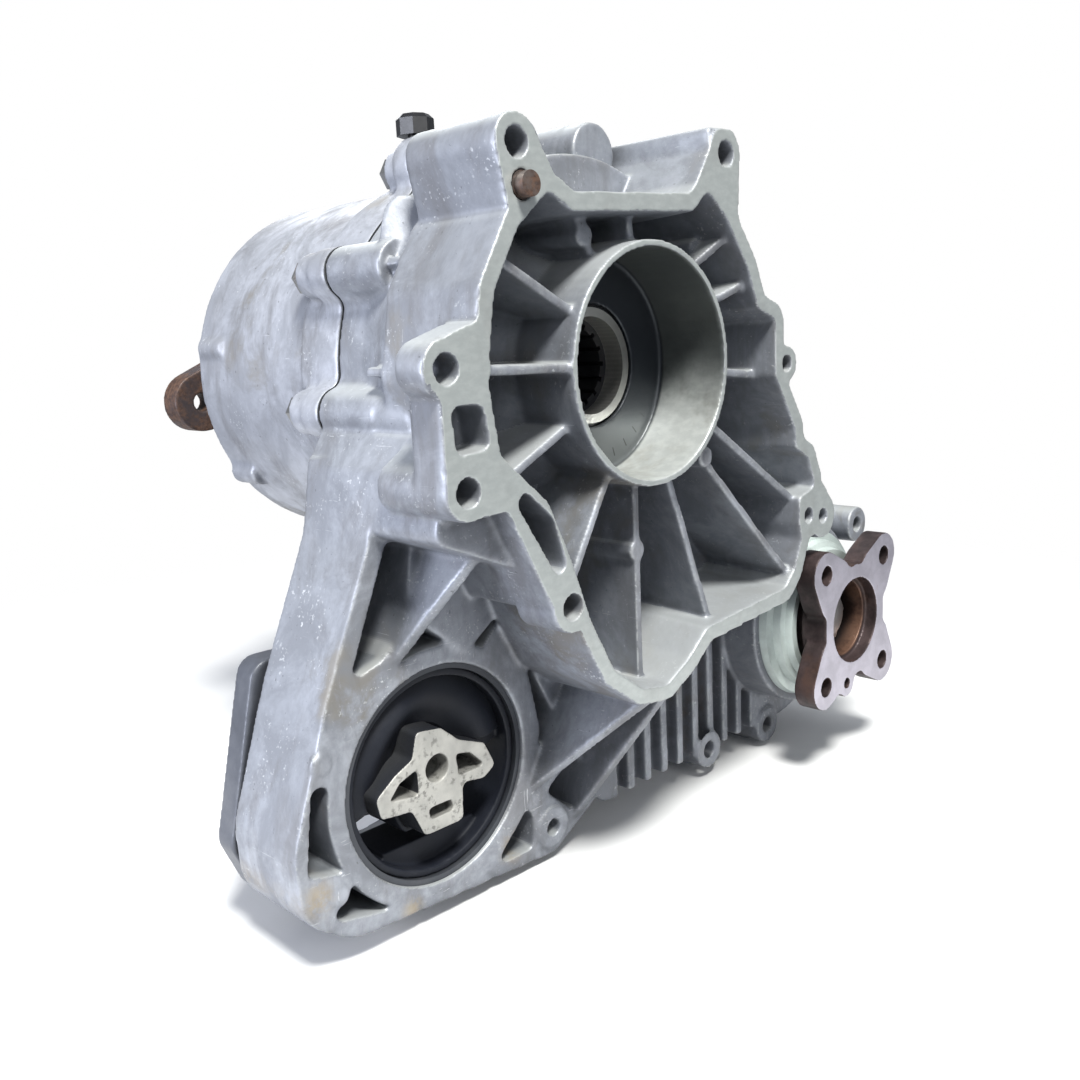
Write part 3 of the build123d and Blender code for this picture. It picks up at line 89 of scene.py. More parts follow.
# Node trees of the materials
class Shader:
    """One material's node tree, with short names for the nodes it needs."""

    def __init__(self, name):
        self.material = bpy.data.materials.new(name)
        self.material.use_nodes = True
        self.tree = self.material.node_tree
        self.bsdf = self.tree.nodes["Principled BSDF"]

    def node(self, kind, **values):
        made = self.tree.nodes.new(kind)
        for key, value in values.items():
            setattr(made, key, value)
        return made

    def link(self, source, target):
        self.tree.links.new(source, target)

    def set(self, **values):
        for key, value in values.items():
            self.bsdf.inputs[key.replace("_", " ")].default_value = value

    def plug(self, socket, value):
        """Put a number, a colour or another node's result into a socket."""
        if isinstance(value, (int, float)):
            socket.default_value = value
        elif isinstance(value, tuple):
            socket.default_value = (*value, 1.0)
        else:
            self.link(value, socket)

    def position(self):
        return self.node("ShaderNodeTexCoord").outputs["Object"]

    def math(self, operation, a, b=0.0, clamp=False):
        made = self.node("ShaderNodeMath", operation=operation, use_clamp=clamp)
        self.plug(made.inputs[0], a)
        self.plug(made.inputs[1], b)
        return made.outputs[0]

    def times(self, a, b):
        return self.math("MULTIPLY", a, b, clamp=True)

    def noise(self, scale, detail=4.0, roughness=0.55, stretch=None, distortion=0.0):
        made = self.node("ShaderNodeTexNoise")
        made.inputs["Scale"].default_value = scale
        made.inputs["Detail"].default_value = detail
        made.inputs["Roughness"].default_value = roughness
        made.inputs["Distortion"].default_value = distortion
        vector = self.position()
        if stretch:
            mapping = self.node("ShaderNodeMapping")
            mapping.inputs["Scale"].default_value = stretch
            self.link(vector, mapping.inputs["Vector"])
            vector = mapping.outputs[0]
        self.link(vector, made.inputs["Vector"])
        return made.outputs["Fac"]

    def ramp(self, value, low, high, to_low=0.0, to_high=1.0):
        made = self.node("ShaderNodeMapRange", clamp=True, interpolation_type="SMOOTHSTEP")
        limits = {"From Min": low, "From Max": high, "To Min": to_low, "To Max": to_high}
        for name, number in limits.items():
            made.inputs[name].default_value = number
        self.link(value, made.inputs["Value"])
        return made.outputs[0]

    def mix(self, factor, a, b):
        made = self.node("ShaderNodeMix", data_type="RGBA")
        self.plug(made.inputs[0], factor)
        self.plug(made.inputs[6], a)
        self.plug(made.inputs[7], b)
        return made.outputs[2]

    def lay(self, color, tint, mask, share):
        """Lay a tint over a colour where a mask is, as strongly as the share says."""
        return self.mix(self.math("MULTIPLY", mask, share), color, tint)

    def blend(self, factor, a, b):
        """Mix two numbers or number sockets."""
        made = self.node("ShaderNodeMix", data_type="FLOAT")
        self.plug(made.inputs[0], factor)
        self.plug(made.inputs[2], a)
        self.plug(made.inputs[3], b)
        return made.outputs[0]

    def bump(self, height, strength, distance):
        made = self.node("ShaderNodeBump")
        made.inputs["Strength"].default_value = strength
        made.inputs["Distance"].default_value = distance
        self.link(height, made.inputs["Height"])
        return made.outputs[0]

    def hollow(self, distance, low, high):
        """1 deep in corners and pockets, 0 on open surfaces."""
        made = self.node("ShaderNodeAmbientOcclusion", samples=6)
        made.inputs["Distance"].default_value = distance
        return self.ramp(made.outputs["AO"], low, high, 1.0, 0.0)

    def axes(self):
        made = self.node("ShaderNodeSeparateXYZ")
        self.link(self.position(), made.inputs[0])
        return made.outputs

    def facing(self):
        """The face's own direction, split in X, Y and Z."""
        made = self.node("ShaderNodeSeparateXYZ")
        self.link(self.node("ShaderNodeNewGeometry").outputs["True Normal"], made.inputs[0])
        return made.outputs

    def edge(self, low, high):
        """1 on sharp outer edges, 0 on flat surfaces."""
        return self.ramp(self.node("ShaderNodeNewGeometry").outputs["Pointiness"], low, high)

    def distance(self, a, b, centre):
        """Distance from a centre, in the plane of two axes."""
        da = self.math("SUBTRACT", a, centre[0])
        db = self.math("SUBTRACT", b, centre[1])
        squares = self.math("ADD", self.math("POWER", da, 2.0), self.math("POWER", db, 2.0))
        return self.math("SQRT", squares)

    def finish(self, color, roughness, normal=None, metallic=0.0):
        self.plug(self.bsdf.inputs["Base Color"], color)
        self.plug(self.bsdf.inputs["Roughness"], roughness)
        self.plug(self.bsdf.inputs["Metallic"], metallic)
        if normal is not None:
            self.link(normal, self.bsdf.inputs["Normal"])
        return self.material


def shade(tint, amount):
    """The tint made darker or lighter."""
    return tuple(min(1.0, channel * amount) for channel in tint)


# Materials of the castings
def cast_metal(name, tint):
    """Die-cast aluminium: mottling, stains, oxide specks, scratches, and grime with painted shade in
    hollows.
    """
    s = Shader(name)
    broad = s.noise(8.0, 5.0, 0.62)
    cloud = s.noise(34.0, 6.0, 0.65, distortion=0.5)
    mottle = s.noise(210.0, 5.0, 0.65)
    grain = s.noise(1100.0, 3.0, 0.6)
    color = s.mix(s.ramp(broad, 0.34, 0.66), shade(tint, 0.84), shade(tint, 1.10))
    color = s.mix(s.ramp(cloud, 0.36, 0.62, 0.0, 0.85), color, shade(tint, 0.54))
    color = s.mix(s.ramp(mottle, 0.38, 0.66, 0.0, 0.34), color, shade(tint, 0.62))
    # Brown-grey stains that have run down the walls
    runs = s.noise(24.0, 6.0, 0.68, stretch=(1.6, 1.6, 0.5), distortion=0.4)
    color = s.mix(s.ramp(runs, 0.46, 0.68, 0.0, 0.58), color, (0.175, 0.170, 0.172))
    warm = s.times(s.ramp(s.noise(15.0, 4.0, 0.6), 0.56, 0.68), s.ramp(cloud, 0.45, 0.62))
    color = s.lay(color, (0.27, 0.235, 0.170), warm, 0.45)
    # Pale oxide specks in patches, and small dark pits
    patch = s.ramp(s.noise(42.0, 5.0, 0.7), 0.50, 0.66)
    speck = s.ramp(s.noise(650.0, 2.0, 0.5), 0.60, 0.70)
    color = s.lay(color, (0.80, 0.82, 0.84), s.times(speck, patch), 0.65)
    pit = s.ramp(s.noise(480.0, 2.0, 0.5), 0.30, 0.24)
    color = s.lay(color, (0.10, 0.10, 0.105), pit, 0.55)
    # Thin pale scratches, in two directions
    for index, stretch in enumerate(((1.0, 1.0, 17.0), (13.0, 13.0, 1.2))):
        lines = s.noise(52.0 + 9.0 * index, 3.0, 0.5, stretch=stretch, distortion=1.4)
        scratch = s.times(s.ramp(lines, 0.715, 0.732), s.ramp(broad, 0.46, 0.60))
        color = s.lay(color, (0.86, 0.88, 0.91), scratch, 0.55)
    # Painted shade: wide and soft in the pockets, but weaker on faces that look up, which are painted as
    # lit from above;
    # and grime with painted shade, tight and dark, in the corners
    dust_and_top_light = s.ramp(s.facing()[2], 0.35, 0.85, 1.0, 0.15)
    pocket_shade = s.times(s.hollow(0.050, 0.25, 0.95), dust_and_top_light)
    corner = s.times(s.hollow(0.010, 0.30, 0.90), s.ramp(cloud, 0.34, 0.60, 0.45, 1.0))
    color = s.lay(color, (0.066, 0.077, 0.098), pocket_shade, 0.54)
    color = s.lay(color, (0.060, 0.060, 0.062), corner, 0.46)
    # Pale edges: worn metal, and a painted edge highlight
    worn = s.times(s.edge(0.520, 0.560), s.ramp(mottle, 0.42, 0.60))
    color = s.lay(color, (0.64, 0.66, 0.67), worn, 0.70)
    rust = s.times(corner, s.ramp(s.noise(24.0, 6.0, 0.7), 0.57, 0.72))
    color = s.lay(color, (0.180, 0.120, 0.070), rust, 0.50)
    rough = s.blend(s.ramp(cloud, 0.3, 0.7), 0.42, 0.60)
    metal = s.blend(s.math("MAXIMUM", pocket_shade, corner), 0.42, 0.08)
    height = s.math("ADD", s.math("MULTIPLY", grain, 0.30), s.math("MULTIPLY", mottle, 0.70))
    return s, color, rough, metal, height


def cover_metal():
    s, color, rough, metal, height = cast_metal("cast cover", (0.530, 0.550, 0.605))
    return s.finish(color, rough, s.bump(height, 0.22, 0.0006), metal)


# Spots of beige residue on the arm, round the eye: centre and reach
residue = (
    ((-0.1490, -0.1930), 0.0170),
    ((-0.0470, -0.2120), 0.0170),
    ((-0.1050, -0.2170), 0.0150),
)


def housing_metal():
    """The cast look, with the milled gearbox face and the bored collar."""
    s, color, rough, metal, height = cast_metal("cast housing", (0.405, 0.425, 0.472))
    x, y, z = s.axes()
    flat = s.ramp(s.facing()[1], -0.90, -0.97)
    at_rim = s.times(s.ramp(y, 0.0009, 0.0004), flat)
    radius = s.distance(x, z, (0.0, 0.0))
    within = s.ramp(radius, bore_r + 0.0006, bore_r + 0.0002)
    bore = s.times(within, s.ramp(y, bore_end_y + 0.004, bore_end_y + 0.003))
    cut = s.noise(160.0, 4.0, 0.6, stretch=(1.0, 1.0, 2.0))
    wear = s.ramp(s.noise(30.0, 6.0, 0.7), 0.50, 0.74, 0.0, 0.45)
    milled = s.mix(s.ramp(cut, 0.35, 0.70), (0.450, 0.480, 0.472), (0.520, 0.550, 0.538))
    milled = s.mix(wear, milled, (0.340, 0.345, 0.335))
    # The bore's upper half is darkened with painted shade
    bored = s.mix(s.ramp(cut, 0.35, 0.70), (0.560, 0.585, 0.570), (0.660, 0.685, 0.665))
    stain = s.noise(20.0, 5.0, 0.7)
    bored = s.mix(s.ramp(stain, 0.50, 0.70, 0.0, 0.5), bored, (0.320, 0.300, 0.245))
    shade_line = s.math("ADD", z, s.math("MULTIPLY", s.math("SUBTRACT", stain, 0.5), 0.030))
    bored = s.mix(s.ramp(shade_line, -0.032, 0.004, 0.0, 0.93), bored, (0.060, 0.068, 0.068))
    sunk = s.times(s.ramp(y, bore_end_y - 0.0030, bore_end_y - 0.0012), s.ramp(radius, 0.052, 0.049))
    # Painted light from above: faces that look up are made paler
    color = s.mix(s.ramp(s.facing()[2], 0.45, 0.90, 0.0, 0.55), color, (0.620, 0.645, 0.640))
    color = s.mix(at_rim, color, milled)
    color = s.mix(bore, color, bored)
    # The bore's floor is dark, a little paler low down, where it has thin radial marks
    floor_color = s.mix(s.ramp(z, -0.018, -0.036), (0.020, 0.024, 0.032), (0.085, 0.092, 0.096))
    slits = s.ramp(s.math("COSINE", s.math("MULTIPLY", s.math("ARCTAN2", z, x), 30.0)), 0.955, 0.985)
    slits = s.times(slits, s.times(s.ramp(radius, 0.0385, 0.0390), s.ramp(radius, 0.0430, 0.0425)))
    floor_color = s.mix(s.times(slits, s.ramp(z, -0.020, -0.030)), floor_color, (0.004, 0.004, 0.005))
    color = s.lay(color, floor_color, sunk, 0.94)
    # Painted shade in the recess between the arm and the bell, behind the arm's front
    nx, ny, _ = s.facing()
    recess_shade = s.times(s.ramp(y, 0.0545, 0.0600), s.ramp(ny, 0.40, 0.10))
    recess_shade = s.times(recess_shade, s.times(s.ramp(z, -0.040, -0.055), s.ramp(nx, -0.80, -0.55)))
    color = s.lay(color, (0.074, 0.084, 0.104), recess_shade, 0.72)
    for centre, reach in residue:
        uneven = s.math("ADD", s.distance(x, z, centre), s.math("MULTIPLY", stain, 0.012))
        spot = s.ramp(uneven, reach, reach * 0.45)
        spot = s.times(spot, s.ramp(s.noise(140.0, 5.0, 0.7), 0.36, 0.56))
        color = s.lay(color, (0.400, 0.315, 0.190), spot, 0.62)
    machined = s.math("MAXIMUM", at_rim, bore)
    rough = s.blend(machined, rough, 0.38)
    metal = s.blend(machined, metal, 0.40)
    height = s.blend(machined, height, s.math("MULTIPLY", cut, 0.20))
    return s.finish(color, rough, s.bump(height, 0.22, 0.0006), metal)


# Materials of the other pieces
def steel(name, tint, rough=0.32, rust=0.0, metallic=0.9):
    """Steel with fine tool marks and a share of brown rust."""
    s = Shader(name)
    broad = s.noise(35.0, 5.0, 0.6)
    fine = s.noise(500.0, 3.0, 0.6)
    color = s.mix(s.ramp(broad, 0.3, 0.7), shade(tint, 0.80), shade(tint, 1.14))
    roughness = s.blend(s.ramp(broad, 0.3, 0.7), rough * 0.85, rough * 1.2)
    metal = metallic
    if rust:
        spread = s.ramp(s.noise(60.0, 7.0, 0.68), 0.62 - 0.35 * rust, 0.80 - 0.35 * rust)
        brown = s.mix(s.ramp(fine, 0.35, 0.65), (0.058, 0.032, 0.024), (0.135, 0.075, 0.050))
        color = s.mix(spread, color, brown)
        roughness = s.blend(spread, rough, 0.60)
        metal = s.blend(spread, metallic, 0.20)
    # Painted shade and grime in small hollows
    grime_and_shade = s.hollow(0.006, 0.3, 0.9)
    color = s.lay(color, (0.025, 0.022, 0.020), grime_and_shade, 0.6)
    return s.finish(color, roughness, s.bump(fine, 0.25, 0.0004), metal)


def shaft_metal():
    """Ground steel outside, near black in the splined bore."""
    s = Shader("ground shaft")
    x, _, z = s.axes()
    broad = s.noise(35.0, 5.0, 0.6)
    fine = s.noise(500.0, 3.0, 0.6)
    color = s.mix(s.ramp(broad, 0.3, 0.7), (0.48, 0.47, 0.45), (0.66, 0.65, 0.61))
    spline_bore = s.ramp(s.distance(x, z, (0.0, 0.0)), 0.0212, 0.0208)
    spline_bore_color = s.mix(s.ramp(broad, 0.35, 0.65), (0.010, 0.011, 0.014), (0.026, 0.025, 0.026))
    color = s.mix(spline_bore, color, spline_bore_color)
    metal = s.blend(spline_bore, 0.9, 0.1)
    return s.finish(color, s.blend(spline_bore, 0.28, 0.42), s.bump(fine, 0.25, 0.0004), metal)


def flange_metal(name, face_tint, side_tint, face_y):
    """Forged flange: turned pale face, dark brown flanks, red-brown oxide in the bore, and painted shade
    deeper in.
    """
    s = Shader(name)
    x, y, z = s.axes()
    radius = s.distance(x, z, output_centre)
    # Turned grooves, 0.8 mm apart
    rings = s.math("SINE", s.math("MULTIPLY", radius, 8000.0))
    flat = s.ramp(s.math("ABSOLUTE", s.facing()[1]), 0.90, 0.97)
    face = s.times(flat, s.ramp(y, face_y + 0.0012, face_y + 0.0006))
    cloud = s.noise(55.0, 7.0, 0.66)
    fine = s.noise(600.0, 3.0, 0.6)
    brown = s.mix(s.ramp(cloud, 0.35, 0.68), shade(side_tint, 0.55), shade(side_tint, 1.6))
    brown = s.mix(s.ramp(s.noise(22.0, 5.0, 0.6), 0.50, 0.66, 0.0, 0.8), brown, (0.125, 0.070, 0.052))
    bore = s.ramp(radius, 0.0220, 0.0205)
    oxide = s.mix(s.ramp(cloud, 0.4, 0.6), (0.075, 0.040, 0.030), (0.190, 0.105, 0.070))
    # Painted shade: deeper in the bore the oxide turns near black
    oxide = s.mix(s.ramp(y, face_y + 0.008, face_y + 0.020), oxide, (0.022, 0.015, 0.014))
    brown = s.mix(bore, brown, oxide)
    bare = s.mix(s.ramp(cloud, 0.35, 0.65), shade(face_tint, 0.86), shade(face_tint, 1.10))
    bare = s.mix(s.ramp(cloud, 0.60, 0.76, 0.0, 0.55), bare, (0.27, 0.20, 0.19))
    color = s.mix(face, brown, bare)
    # Painted shade and grime in hollows
    grime_and_shade = s.hollow(0.008, 0.3, 0.9)
    color = s.lay(color, (0.022, 0.018, 0.018), grime_and_shade, 0.55)
    height = s.math("ADD", s.math("MULTIPLY", s.times(rings, face), 0.25), s.math("MULTIPLY", fine, 0.8))
    rough = s.blend(face, 0.46, 0.38)
    return s.finish(color, rough, s.bump(height, 0.3, 0.0004), s.blend(face, 0.40, 0.70))


def matt(name, tint, rough, metallic=0.0, grain=300.0, depth=0.0003, dust_and_top_light=0.15, shine=0.5):
    """Rubber, plastic or painted metal with grain, dust and painted shade in hollows."""
    s = Shader(name)
    s.set(Specular_IOR_Level=shine)
    fine = s.noise(grain, 4.0, 0.6)
    broad = s.noise(28.0, 6.0, 0.65)
    color = s.mix(s.ramp(broad, 0.3, 0.7), shade(tint, 0.78), shade(tint, 1.2))
    color = s.mix(s.ramp(broad, 0.48, 0.80, 0.0, dust_and_top_light), color, (0.30, 0.285, 0.25))
    # Painted shade and grime in hollows, as a dark copy of the tint
    grime_and_shade = s.hollow(0.010, 0.3, 0.9)
    color = s.lay(color, shade(tint, 0.16), grime_and_shade, 0.6)
    rough_map = s.blend(s.ramp(broad, 0.3, 0.7), rough * 0.85, min(1.0, rough * 1.15))
    return s.finish(color, rough_map, s.bump(fine, 0.4, depth), metallic)


def core_metal():
    """The bush's bare front and rear faces and windows; its outer walls have a rubber skin, and window
    walls that face away from its centre have the same dark as painted shade.
    """
    s = Shader("mount core")
    x, _, z = s.axes()
    nx, ny, nz = s.facing()
    broad = s.noise(40.0, 6.0, 0.65)
    fine = s.noise(420.0, 5.0, 0.65)
    color = s.mix(s.ramp(broad, 0.35, 0.65), (0.40, 0.395, 0.37), (0.56, 0.55, 0.51))
    speckle = s.ramp(s.noise(300.0, 4.0, 0.7), 0.50, 0.60)
    worn = s.times(speckle, s.ramp(s.noise(75.0, 3.0, 0.6), 0.42, 0.58))
    color = s.lay(color, (0.165, 0.160, 0.148), worn, 0.75)
    # Pale edges: wear, and a painted edge highlight
    color = s.lay(color, (0.68, 0.67, 0.64), s.edge(0.52, 0.57), 0.5)
    # Dark rubber skin on the outer walls; on window walls that face away from the centre, the same dark
    # is painted shade
    out_x = s.math("MULTIPLY", s.math("SUBTRACT", x, core_centre[0]), nx)
    out_z = s.math("MULTIPLY", s.math("SUBTRACT", z, core_centre[1]), nz)
    outward = s.ramp(s.math("ADD", out_x, out_z), 0.0055, 0.0075)
    wall = s.ramp(s.math("ABSOLUTE", ny), 0.62, 0.42)
    skin = s.times(outward, wall)
    color = s.mix(skin, color, (0.014, 0.016, 0.022))
    # Painted shade and grime in hollows
    color = s.lay(color, (0.030, 0.030, 0.030), s.hollow(0.012, 0.3, 0.9), 0.55)
    rough = s.blend(skin, 0.50, 0.62)
    return s.finish(color, rough, s.bump(fine, 0.45, 0.0006), s.blend(skin, 0.30, 0.0))


flange_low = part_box("front_output_flange")[0]
looks = {
    "front_housing": housing_metal(),
    "rear_cover": cover_metal(),
    "front_output_flange": flange_metal(
        "front flange", (0.56, 0.53, 0.60), (0.060, 0.042, 0.042), flange_low.y),
    "rear_output_flange": steel("rear flange", (0.085, 0.068, 0.070), 0.42, 0.70, 0.5),
    "main_shaft": shaft_metal(),
    "seal_carrier": matt("seal carrier", (0.64, 0.72, 0.69), 0.42, 0.25, 200.0, 0.0002, 0.20),
    "mount_rubber": matt(
        "mount rubber", (0.009, 0.011, 0.018), 0.58, 0.0, 400.0, 0.0003, 0.04, shine=0.30),
    "mount_core": core_metal(),
    "mount_sleeve": matt("mount sleeve", (0.055, 0.060, 0.072), 0.45, 0.2),
    "stop_plate": matt("stop plate", (0.095, 0.102, 0.122), 0.42, 0.15, 260.0, 0.0004, 0.22),
    "breather_cap": matt("breather", (0.014, 0.014, 0.016), 0.36, 0.0, 200.0, 0.0002, 0.08),
    "seam_bead": matt("sealant", (0.055, 0.057, 0.060), 0.5, 0.0, 200.0, 0.0003, 0.2),
    "dowel_pin": steel("dowel", (0.20, 0.165, 0.150), 0.36, 0.45, 0.6),
    "input_seal": matt("input seal", (0.016, 0.018, 0.023), 0.45, 0.0, 200.0, 0.0002, 0.08),
    "front_seal": matt("front seal", (0.032, 0.030, 0.030), 0.5),
    "rear_seal": matt("rear seal", (0.03, 0.03, 0.03), 0.5),
    "actuator_motor": matt("motor can", (0.040, 0.042, 0.048), 0.45, 0.3),
}
screw_steel = steel("screw steel", (0.36, 0.36, 0.355), 0.40, 0.25)
inner_steel = steel("inner steel", (0.42, 0.42, 0.42), 0.30)


def look_of(name):
    """A piece's own look; the other screws, plugs and nuts share one steel, all else another."""
    if name in looks:
        return looks[name]
    fastener = any(word in name for word in ("screw", "plug", "nut"))
    return screw_steel if fastener else inner_steel


for name, piece in nodes.items():
    piece.data.materials.clear()
    piece.data.materials.append(look_of(name))


# Skins: copies of CAD nodes with rounded edges, small waves and dents
def waves(place, size, seed):
    """Smooth noise between -1 and 1 at each point, with lumps of the given size."""
    rng = np.random.default_rng(seed)
    count = 32
    lattice = rng.random((count, count, count)) * 2.0 - 1.0
    # The shift keeps every cell's number above zero
    shift = 1000.0
    scaled = place / size + shift
    cell = np.floor(scaled).astype(np.int64)
    part = scaled - cell
    part = part * part * (3.0 - 2.0 * part)
    total = np.zeros(len(place))
    for corner in range(8):
        step = np.array([corner & 1, corner >> 1 & 1, corner >> 2 & 1])
        index = (cell + step) % count
        share = np.prod(np.where(step, part, 1.0 - part), axis=1)
        total += share * lattice[index[:, 0], index[:, 1], index[:, 2]]
    return total


def smooth(mesh, place, rounds, weight):
    """Relax the mesh, with every second round outwards so that it shrinks less."""
    inwards, outwards = 0.55, -0.28
    count = len(mesh.vertices)
    pairs = np.empty(len(mesh.edges) * 2, np.int64)
    mesh.edges.foreach_get("vertices", pairs)
    pairs = pairs.reshape(-1, 2)
    first = np.concatenate((pairs[:, 0], pairs[:, 1]))
    second = np.concatenate((pairs[:, 1], pairs[:, 0]))
    links = np.maximum(np.bincount(first, minlength=count), 1)
    for index in range(rounds):
        mean = np.stack([np.bincount(first, place[second, axis], count) for axis in range(3)], 1)
        mean /= links[:, None]
        step = inwards if index % 2 == 0 else outwards
        place = place + (mean - place) * (weight * step)[:, None]
    return place


def get(items, name):
    """A vector of every mesh item, as rows of three numbers."""
    values = np.empty(len(items) * 3)
    items.foreach_get(name, values)
    return values.reshape(-1, 3)


def remeshed(name, voxel):
    """A voxel copy of a node's mesh."""
    mesh = nodes[name].data.copy()
    work = bmesh.new()
    work.from_mesh(mesh)
    bmesh.ops.remove_doubles(work, verts=work.verts, dist=0.00002)
    work.to_mesh(mesh)
    work.free()
    skin = bpy.data.objects.new(name + "_skin", mesh)
    scene.collection.objects.link(skin)
    remesh = skin.modifiers.new("voxels", "REMESH")
    remesh.mode = "VOXEL"
    remesh.voxel_size = voxel
    remesh.adaptivity = 0.0
    bpy.context.view_layer.update()
    made = bpy.data.meshes.new_from_object(skin.evaluated_get(bpy.context.evaluated_depsgraph_get()))
    skin.modifiers.clear()
    skin.data = made
    return skin


def dented(place, normal, dents):
    """Press round or long dents: centre, radius, depth and half the length as a vector."""
    for centre, radius, depth, along in dents:
        away = place - np.array(centre)
        if along is not None:
            line = np.array(along)
            length = np.linalg.norm(line)
            run = np.clip(away @ line / length, -length, length)
            away = away - run[:, None] * line / length
        near = np.linalg.norm(away, axis=1) / radius
        push = depth * np.clip(1.0 - near**4, 0.0, 1.0)
        place = place - normal * push[:, None]
    return place


def skin_of(name, voxel, rounds, ripple=0.0, keep=None, flat_y=None, dents=()):
    """Replace a node by its rounded and worn copy, which rides on the same body."""
    skin = remeshed(name, voxel)
    made = skin.data
    place = get(made.vertices, "co")
    weight = np.ones(len(place)) if keep is None else keep(place)
    place = smooth(made, place, rounds, weight)
    made.vertices.foreach_set("co", place.ravel())
    made.update()
    normal = get(made.vertices, "normal")
    if ripple:
        # Broad lumps of 11 mm and finer ones of 4.5 mm
        height = waves(place, 0.011, 1) * 0.7 + waves(place, 0.0045, 2) * 0.3
        place = place + normal * (height * ripple * weight)[:, None]
    place = dented(place, normal, dents)
    lowest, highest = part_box(name)
    if flat_y is not None:
        near = (np.abs(place[:, 1] - flat_y) < voxel * 0.75) & (normal[:, 1] < -0.5)
        place[near, 1] = flat_y
    place = np.clip(place, np.array(lowest), np.array(highest))
    made.vertices.foreach_set("co", place.ravel())
    made.update()
    made.shade_smooth()
    made.materials.clear()
    made.materials.append(look_of(name))
    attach(skin, carrier[name])
    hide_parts(name)


def keep_machined(place):
    """How strongly each point is smoothed and rippled: little in the collar's bore."""
    bore_reach_r = 0.0482
    bore_reach_y = 0.041
    radius = np.hypot(place[:, 0], place[:, 2])
    bore = (radius < bore_reach_r) & (place[:, 1] < bore_reach_y)
    return np.where(bore, 0.15, 1.0)


# Round pads that the ejector pins left on the arm, raised again after the smoothing
ejector_pads = ((-0.1391, arm_front_y, -0.1962), (-0.1421, arm_front_y, -0.1408))

# Places of small knocks, in X and Z
face_knocks = (
    (-0.112, 0.014), (-0.119, -0.002), (-0.115, -0.030), (-0.100, -0.048), (-0.062, -0.086),
    (-0.058, 0.070), (-0.048, 0.062), (0.052, 0.094), (0.095, -0.010), (-0.050, -0.099),
    (-0.028, -0.131), (0.012, -0.140), (0.060, -0.124), (-0.108, 0.012), (-0.083, -0.052),
)
arm_knocks = (
    (-0.146, -0.165), (-0.150, -0.190), (-0.137, -0.125), (-0.100, -0.219), (-0.060, -0.222),
)


def rim_nicks():
    """Knocks on the gearbox face's edges and the arm, partly seeded, and the raised pads."""
    rng = np.random.default_rng(7)
    dents = []
    for x, z in face_knocks:
        turn = rng.uniform(-1.0, 1.0, 2) * 0.0022
        along = (turn[0], 0.0, turn[1])
        radius = rng.uniform(0.0012, 0.0024)
        depth = rng.uniform(0.0003, 0.0007)
        dents.append(((x, gearbox_face_y, z), radius, depth, along))
    for centre in ejector_pads:
        dents.append((centre, 0.0048, -0.0007, None))
    for x, z in arm_knocks:
        along = (rng.uniform(-0.003, 0.003), 0.0, rng.uniform(-0.004, 0.004))
        dents.append(((x, arm_front_y, z), 0.0016, 0.0005, along))
    return dents


# Small holes in the front edge of the bush's rubber, at angles from +X towards +Z
lip_r = 0.0462
lip_y = 0.0528
lip_holes = []
for angle in np.radians((187.0, 256.0, 302.0)):
    hole = (eye_centre[0] + lip_r * np.cos(angle), lip_y, eye_centre[1] + lip_r * np.sin(angle))
    lip_holes.append((hole, 0.0013, 0.0016, None))

# Each skin: voxel size in metres, rounds of smoothing, height of the ripple in metres
skin_of("front_housing", 0.00095, 14, 0.00016, keep_machined, gearbox_face_y, rim_nicks())
skin_of("rear_cover", 0.00120, 12, 0.00020)
skin_of("mount_core", 0.00050, 30, 0.00034)
skin_of("mount_rubber", 0.00070, 12, 0.00010, dents=lip_holes)
skin_of("stop_plate", 0.00090, 8, 0.00015)
skin_of("front_output_flange", 0.00055, 5, 0.00006)
skin_of("rear_output_flange", 0.00080, 6, 0.00010)


def rubber_web():
    """The fold of rubber that closes the bush above its core."""
    start, stop = np.radians((8.0, 196.0))
    inner_r, outer_r = 0.016, 0.0452
    front_y, fold, thickness = 0.0618, 0.0040, 0.004
    around, across = 96, 24
    grid = bmesh.new()
    rows = []
    for side in (0.0, thickness):
        for i in range(around + 1):
            angle = start + (stop - start) * i / around
            row = []
            for j in range(across + 1):
                share = j / across
                radius = inner_r + (outer_r - inner_r) * share
                centre_x = core_centre[0] + (eye_centre[0] - core_centre[0]) * share
                centre_z = core_centre[1] + (eye_centre[1] - core_centre[1]) * share
                lobes = 1.0 + 0.35 * np.sin(3.0 * angle + 0.6)
                deep = front_y - fold * lobes * np.sin(np.pi * share) ** 2 + side
                x = centre_x + radius * np.cos(angle)
                z = centre_z + radius * np.sin(angle)
                row.append(grid.verts.new((x, deep, z)))
            rows.append(row)
    front, back = rows[:around + 1], rows[around + 1:]
    for i in range(around):
        for j in range(across):
            grid.faces.new((front[i][j], front[i][j + 1], front[i + 1][j + 1], front[i + 1][j]))
            grid.faces.new((back[i][j], back[i + 1][j], back[i + 1][j + 1], back[i][j + 1]))
        grid.faces.new((front[i][0], front[i + 1][0], back[i + 1][0], back[i][0]))
        grid.faces.new((front[i][across], back[i][across], back[i + 1][across], front[i + 1][across]))
    for j in range(across):
        grid.faces.new((front[0][j], back[0][j], back[0][j + 1], front[0][j + 1]))
        grid.faces.new((front[around][j], front[around][j + 1], back[around][j + 1], back[around][j]))
    bmesh.ops.recalc_face_normals(grid, faces=grid.faces)
    mesh = bpy.data.meshes.new("bush_web")
    grid.to_mesh(mesh)
    grid.free()
    mesh.shade_smooth()
    mesh.materials.append(looks["mount_rubber"])
    web = bpy.data.objects.new("bush_web", mesh)
    scene.collection.objects.link(web)
    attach(web, carrier["mount_rubber"])


rubber_web()


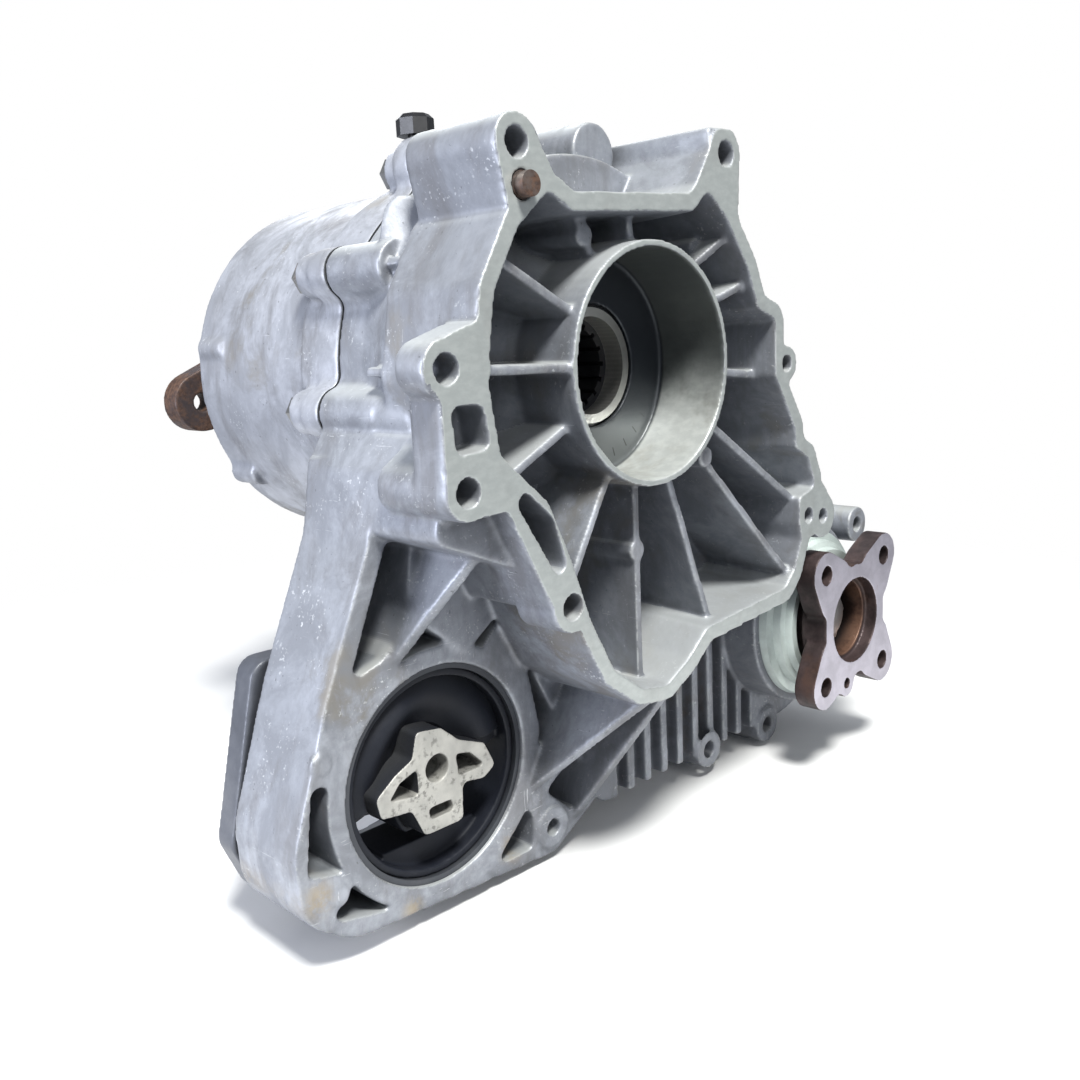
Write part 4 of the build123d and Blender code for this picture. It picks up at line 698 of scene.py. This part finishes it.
# Stage, light and camera
def floor():
    """A floor that fades out round the part: white to the camera, grey in the light it sends back."""
    bpy.ops.mesh.primitive_plane_add(size=8.0, location=(0.03, 0.12, floor_z))
    plane = bpy.context.object
    s = Shader("floor")
    s.set(Roughness=0.9, Specular_IOR_Level=0.1)
    path = s.node("ShaderNodeLightPath")
    seen = s.math("MAXIMUM", path.outputs["Is Camera Ray"], path.outputs["Is Glossy Ray"])
    s.link(s.mix(seen, (0.42, 0.42, 0.43), (0.90, 0.90, 0.90)), s.bsdf.inputs["Base Color"])
    x, y, _ = s.axes()
    distance = s.distance(x, y, (0.0, 0.0))
    clear = s.node("ShaderNodeBsdfTransparent")
    blend = s.node("ShaderNodeMixShader")
    s.link(s.ramp(distance, 0.25, 0.75), blend.inputs[0])
    s.link(s.bsdf.outputs[0], blend.inputs[1])
    s.link(clear.outputs[0], blend.inputs[2])
    s.link(blend.outputs[0], s.tree.nodes["Material Output"].inputs["Surface"])
    plane.data.materials.append(s.material)


def world():
    """Soft cool light from all sides; the camera itself sees plain white."""
    made = bpy.data.worlds.new("room")
    scene.world = made
    made.use_nodes = True
    tree = made.node_tree
    room = tree.nodes["Background"]
    room.inputs["Color"].default_value = (*world_tint, 1.0)
    room.inputs["Strength"].default_value = world_light
    seen = tree.nodes.new("ShaderNodeBackground")
    seen.inputs["Color"].default_value = (1.0, 1.0, 1.0, 1.0)
    seen.inputs["Strength"].default_value = 1.0
    path = tree.nodes.new("ShaderNodeLightPath")
    either = tree.nodes.new("ShaderNodeMath")
    either.operation = "MAXIMUM"
    tree.links.new(path.outputs["Is Camera Ray"], either.inputs[0])
    tree.links.new(path.outputs["Is Transmission Ray"], either.inputs[1])
    blend = tree.nodes.new("ShaderNodeMixShader")
    tree.links.new(either.outputs[0], blend.inputs[0])
    tree.links.new(room.outputs[0], blend.inputs[1])
    tree.links.new(seen.outputs[0], blend.inputs[2])
    tree.links.new(blend.outputs[0], tree.nodes["World Output"].inputs["Surface"])


def lamp(name, place, target, size, power, color):
    """A round lamp that points at its target."""
    data = bpy.data.lights.new(name, "AREA")
    data.shape = "DISK"
    data.size = size
    data.energy = power
    data.color = color
    made = bpy.data.objects.new(name, data)
    made.location = place
    made.rotation_mode = "QUATERNION"
    made.rotation_quaternion = (Vector(target) - Vector(place)).to_track_quat("-Z", "Y")
    scene.collection.objects.link(made)


def camera():
    """The photograph's camera, from a fit to the round edges of the part."""
    data = bpy.data.cameras.new("photo camera")
    data.sensor_width = film_width
    data.lens = photo_focal / photo_width * film_width
    data.clip_start = 0.01
    data.clip_end = 50.0
    made = bpy.data.objects.new("photo camera", data)
    turn = Vector(camera_turn)
    to_camera = Matrix.Rotation(turn.length, 3, turn.normalized())
    right, down, ahead = to_camera[0], to_camera[1], to_camera[2]
    basis = Matrix((right, -down, -ahead)).transposed()
    made.matrix_world = Matrix.Translation(camera_place) @ basis.to_4x4()
    scene.collection.objects.link(made)
    scene.camera = made


floor()
world()
for name, values in lamps.items():
    lamp(name, *values)
camera()
scene.view_settings.view_transform = "Standard"
